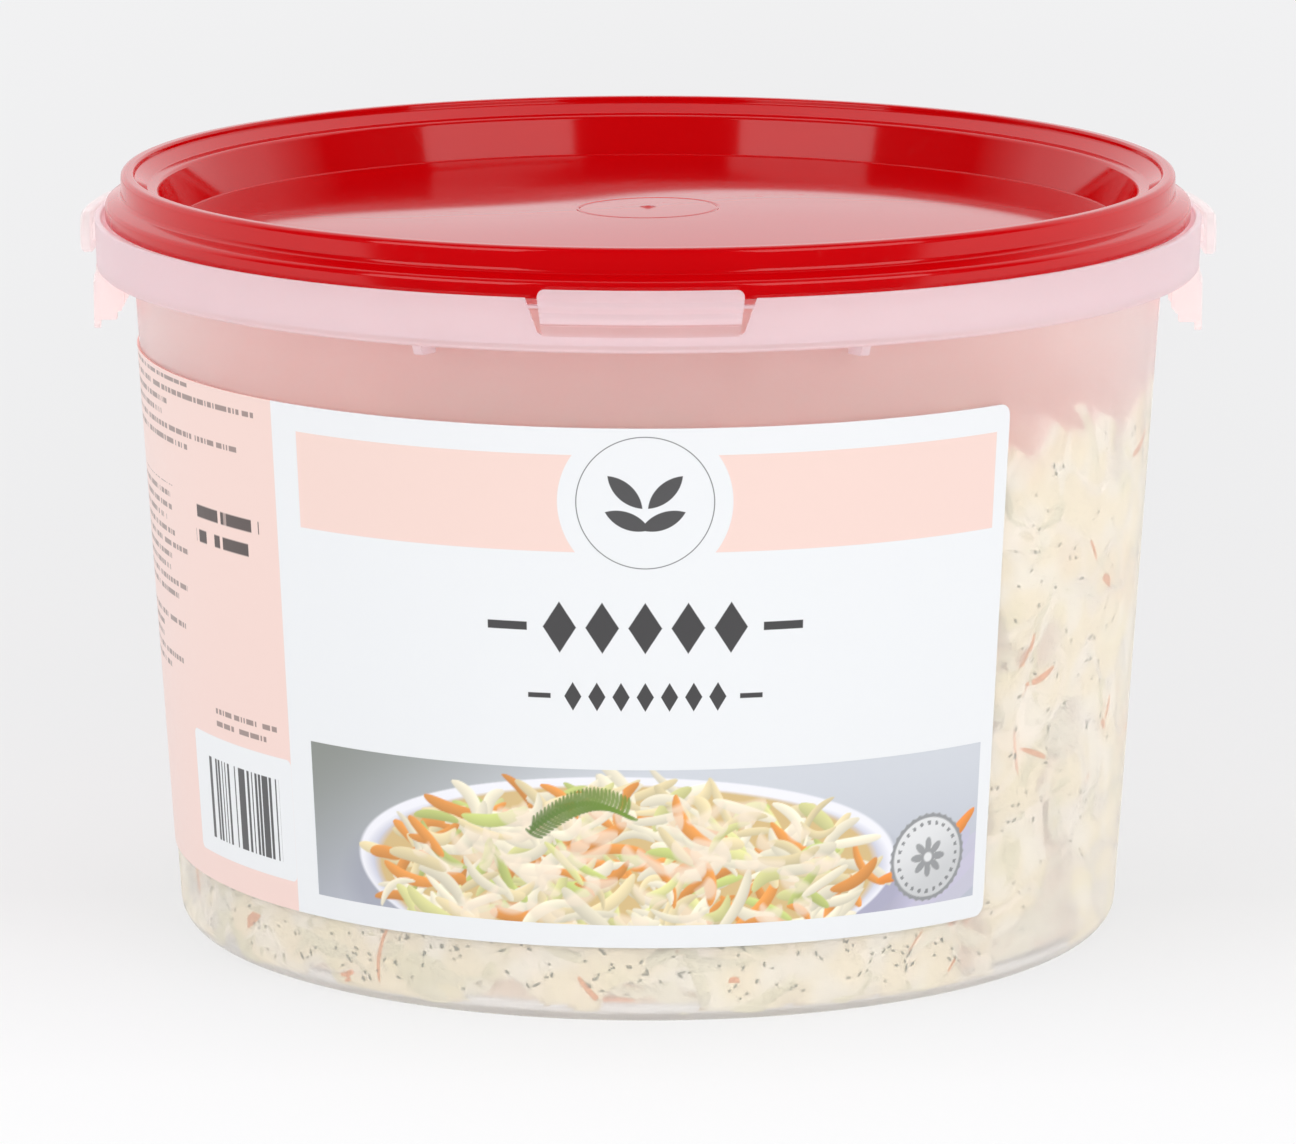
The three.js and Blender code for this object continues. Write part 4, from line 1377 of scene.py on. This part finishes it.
def make_herbs(material):
    """Small flecks of herb and pepper, pressed to the wall."""
    draw = random.Random(23)
    vertices, faces = [], []
    for number in range(HERB_FLECKS):
        angle, height = shown_place(draw, 2.0)
        long = draw.uniform(0.45, 1.05) * (1.8 if number % 12 == 0 else 1.0)
        path, ups = wall_path(angle, height, long, draw.uniform(-1.6, 1.6), 0.0, -0.2, steps=2)
        strip(path, ups, draw.uniform(0.3, 0.55), 0.5, vertices, faces)
    return finished(add_object("slaw_herbs", vertices, faces), material, angle=60.0)


# Scene


CAMERA_PLACE = (0.01515, -1.2401, 0.3216)
CAMERA_PITCH = 11.78
CAMERA_YAW = 0.7
CAMERA_LENS = 188.33


def add_camera():
    data = bpy.data.cameras.new("camera")
    data.sensor_width = 36.0
    data.lens = CAMERA_LENS
    camera = bpy.data.objects.new("camera", data)
    camera.location = CAMERA_PLACE
    camera.rotation_euler = (math.radians(90 - CAMERA_PITCH), 0.0, math.radians(CAMERA_YAW))
    bpy.context.scene.collection.objects.link(camera)
    bpy.context.scene.camera = camera


LAMP_TARGET = (0.0, 0.0, 0.08)

# Lamps: azimuth and elevation in degrees, distance, width and height in metres, watts, and
# whether gloss mirrors them
LAMPS = (
    ("softbox_left", -42.0, 21.0, 1.5, 0.9, 1.0, 6.2, True),
    ("softbox_right", 41.0, 21.0, 1.5, 1.0, 1.0, 6.6, True),
    ("side_left", -68.0, 12.0, 1.5, 0.9, 1.0, 3.0, False),
    ("side_right", 64.0, 12.0, 1.5, 0.9, 1.0, 4.0, False),
    ("top_light", 0.0, 82.0, 1.6, 1.6, 1.6, 7.0, False),
)


def add_area(name, azimuth, elevation, distance, width, height, power, glossy):
    """A soft lamp that faces the tub. Azimuth 0 is the camera's side, and it grows towards +X."""
    data = bpy.data.lights.new(name, "AREA")
    data.shape = "RECTANGLE"
    data.size = width
    data.size_y = height
    data.energy = power
    lamp = bpy.data.objects.new(name, data)
    turn, rise = math.radians(azimuth), math.radians(elevation)
    away = Vector(at_turn(math.cos(rise), turn, math.sin(rise)))
    lamp.location = Vector(LAMP_TARGET) + away * distance
    lamp.rotation_mode = "QUATERNION"
    lamp.rotation_quaternion = (-away).to_track_quat("-Z", "Y")
    lamp.visible_camera = False
    lamp.visible_glossy = glossy
    bpy.context.scene.collection.objects.link(lamp)
    return lamp


# The room's light: behind the tub, more of it there for gloss, on all sides, at least, and as seen
ROOM_BEHIND = 0.70
ROOM_GLOSS = 0.46
ROOM_FILL = 0.27
ROOM_LEAST = 0.03
ROOM_SEEN = 0.92
ROOM_COLOUR = (0.985, 0.985, 1.0, 1.0)


def add_world():
    """A pale room: bright behind the tub, darker on the camera's side where gloss mirrors it."""
    world = bpy.data.worlds.new("studio")
    world.use_nodes = True
    bpy.context.scene.world = world
    tree = world.node_tree
    tree.nodes.clear()
    output = tree.nodes.new("ShaderNodeOutputWorld")
    direction = tree.nodes.new("ShaderNodeTexCoord")
    split = tree.nodes.new("ShaderNodeSeparateXYZ")
    tree.links.new(direction.outputs["Generated"], split.inputs[0])
    paths = tree.nodes.new("ShaderNodeLightPath")
    behind = Term(tree, split.outputs[1]).above(0.15, 0.35)
    glossy = Term(tree, paths.outputs["Is Glossy Ray"])
    lit = behind * (glossy * ROOM_GLOSS + ROOM_BEHIND)
    level = lit + glossy.inverse() * ROOM_FILL + ROOM_LEAST
    camera = Term(tree, paths.outputs["Is Camera Ray"])
    strength = level * camera.inverse() + camera * ROOM_SEEN
    light = tree.nodes.new("ShaderNodeBackground")
    light.inputs["Color"].default_value = ROOM_COLOUR
    tree.links.new(strength.socket, light.inputs["Strength"])
    tree.links.new(light.outputs[0], output.inputs["Surface"])


FLOOR_REACH = 6.0
FLOOR_SPLIT = -0.5
FLOOR_LEVEL = -0.0002
FLOOR_GLOW = 1.12
FLOOR_GLOW_SHARE = 0.72


def add_floor():
    """A pale light table that fills every view, with painted shade in a band under and behind the
    tub. Gloss doesn't mirror its front part.
    """
    paint = Paint("floor_white")
    across, along, _ = paint.parts(paint.place())
    across = across / 0.35
    # Painted shade: a darker band on the floor under and behind the tub
    beside = (across * across * -1.0).act("EXPONENT")
    shade = beside * along.above(-0.06, 0.13) * along.above(1.0, 1.3).inverse() * 0.115
    cloud = paint.noise(2.0)
    colour = paint.mix(cloud, (0.885, 0.885, 0.89), (0.895, 0.895, 0.90))
    colour = paint.mix(shade, colour, (0.0, 0.0, 0.0))
    surface = paint.add("ShaderNodeBsdfDiffuse")
    paint.link(colour, surface.inputs["Color"])
    glow = paint.add("ShaderNodeEmission", Strength=FLOOR_GLOW)
    paint.link(colour, glow.inputs["Color"])
    white = paint.finish(paint.blend(FLOOR_GLOW_SHARE, surface, glow))
    back = ("floor", FLOOR_SPLIT, FLOOR_REACH)
    front = ("floor_front", -FLOOR_REACH, FLOOR_SPLIT)
    for name, start, end in (back, front):
        corners = [
            (side * FLOOR_REACH, edge, FLOOR_LEVEL)
            for side, edge in ((-1, start), (1, start), (1, end), (-1, end))
        ]
        floor = add_object(name, corners, [(0, 1, 2, 3)], scale=1.0)
        floor.visible_glossy = name == "floor"
        floor.data.materials.append(white)


# Milky plastics: how clear, how much light scatters through, tint, and what shadow rays keep
# The collar's and the tearing line's pink, darker tints are painted red light from the lid and
# painted shade, on the same plastic
PLASTICS = {
    "wall_milky": (0.87, 0.05, (0.995, 0.975, 0.955), 1.0),
    "collar_milky_painted_red_light": (0.58, 0.14, (0.92, 0.855, 0.888), 0.67),
    "tear_line_milky_painted_red_light": (0.85, 0.05, (0.92, 0.83, 0.83), 0.85),
    "handle_milky": (0.55, 0.20, (0.98, 0.97, 0.965), 1.0),
}

# Pale and deep colours of what is shredded or chopped, and their features for each metre
CABBAGE = (srgb(253, 248, 234), srgb(244, 238, 208), 90.0)
CARROT = (srgb(250, 206, 176), srgb(243, 168, 124), 150.0)
HERBS = (srgb(172, 171, 156), srgb(132, 139, 130), 400.0)


def add_pieces():
    """Each piece with the body it rides, the CAD node it replaces if any, and its material slot."""
    plastics = {name: milky_plastic(name, *values) for name, values in PLASTICS.items()}
    pieces = (
        (make_tub(*plastics.values()), "pack", "tub", "tub_plastic"),
        (make_lid(red_plastic()), "pack", "lid", "lid_plastic"),
        (make_label(), "pack", "label", "label_film"),
        (make_picture(), "pack", None, "label_film"),
        (make_handle(plastics["handle_milky"]), "bail", "handle", "handle_plastic"),
        (make_slaw_mass(slaw_mass_material()), "pack", "coleslaw", "coleslaw"),
        (make_shreds("slaw_cabbage", shred_material("cabbage", *CABBAGE), count=560, seed=3,
                     length=(9.0, 30.0), width=(2.0, 4.6), thickness=1.1, sink=0.3, bend=1.2,
                     on_top=160), "pack", None, "coleslaw"),
        (make_shreds("slaw_carrot", shred_material("carrot", *CARROT), count=110, seed=8,
                     length=(4.0, 16.0), width=(0.8, 1.9), thickness=0.9, sink=0.1, bend=0.5,
                     on_top=24), "pack", None, "coleslaw"),
        (make_herbs(shred_material("herbs", *HERBS)), "pack", None, "coleslaw"),
    )
    for piece, body, node, slot in pieces:
        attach(piece, body)
        if node:
            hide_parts(node)


add_camera()
add_world()
add_floor()
add_pieces()
for name, azimuth, elevation, distance, width, height, power, glossy in LAMPS:
    add_area(name, azimuth, elevation, distance, width, height, power, glossy)
bpy.context.scene.view_settings.view_transform = "Standard"
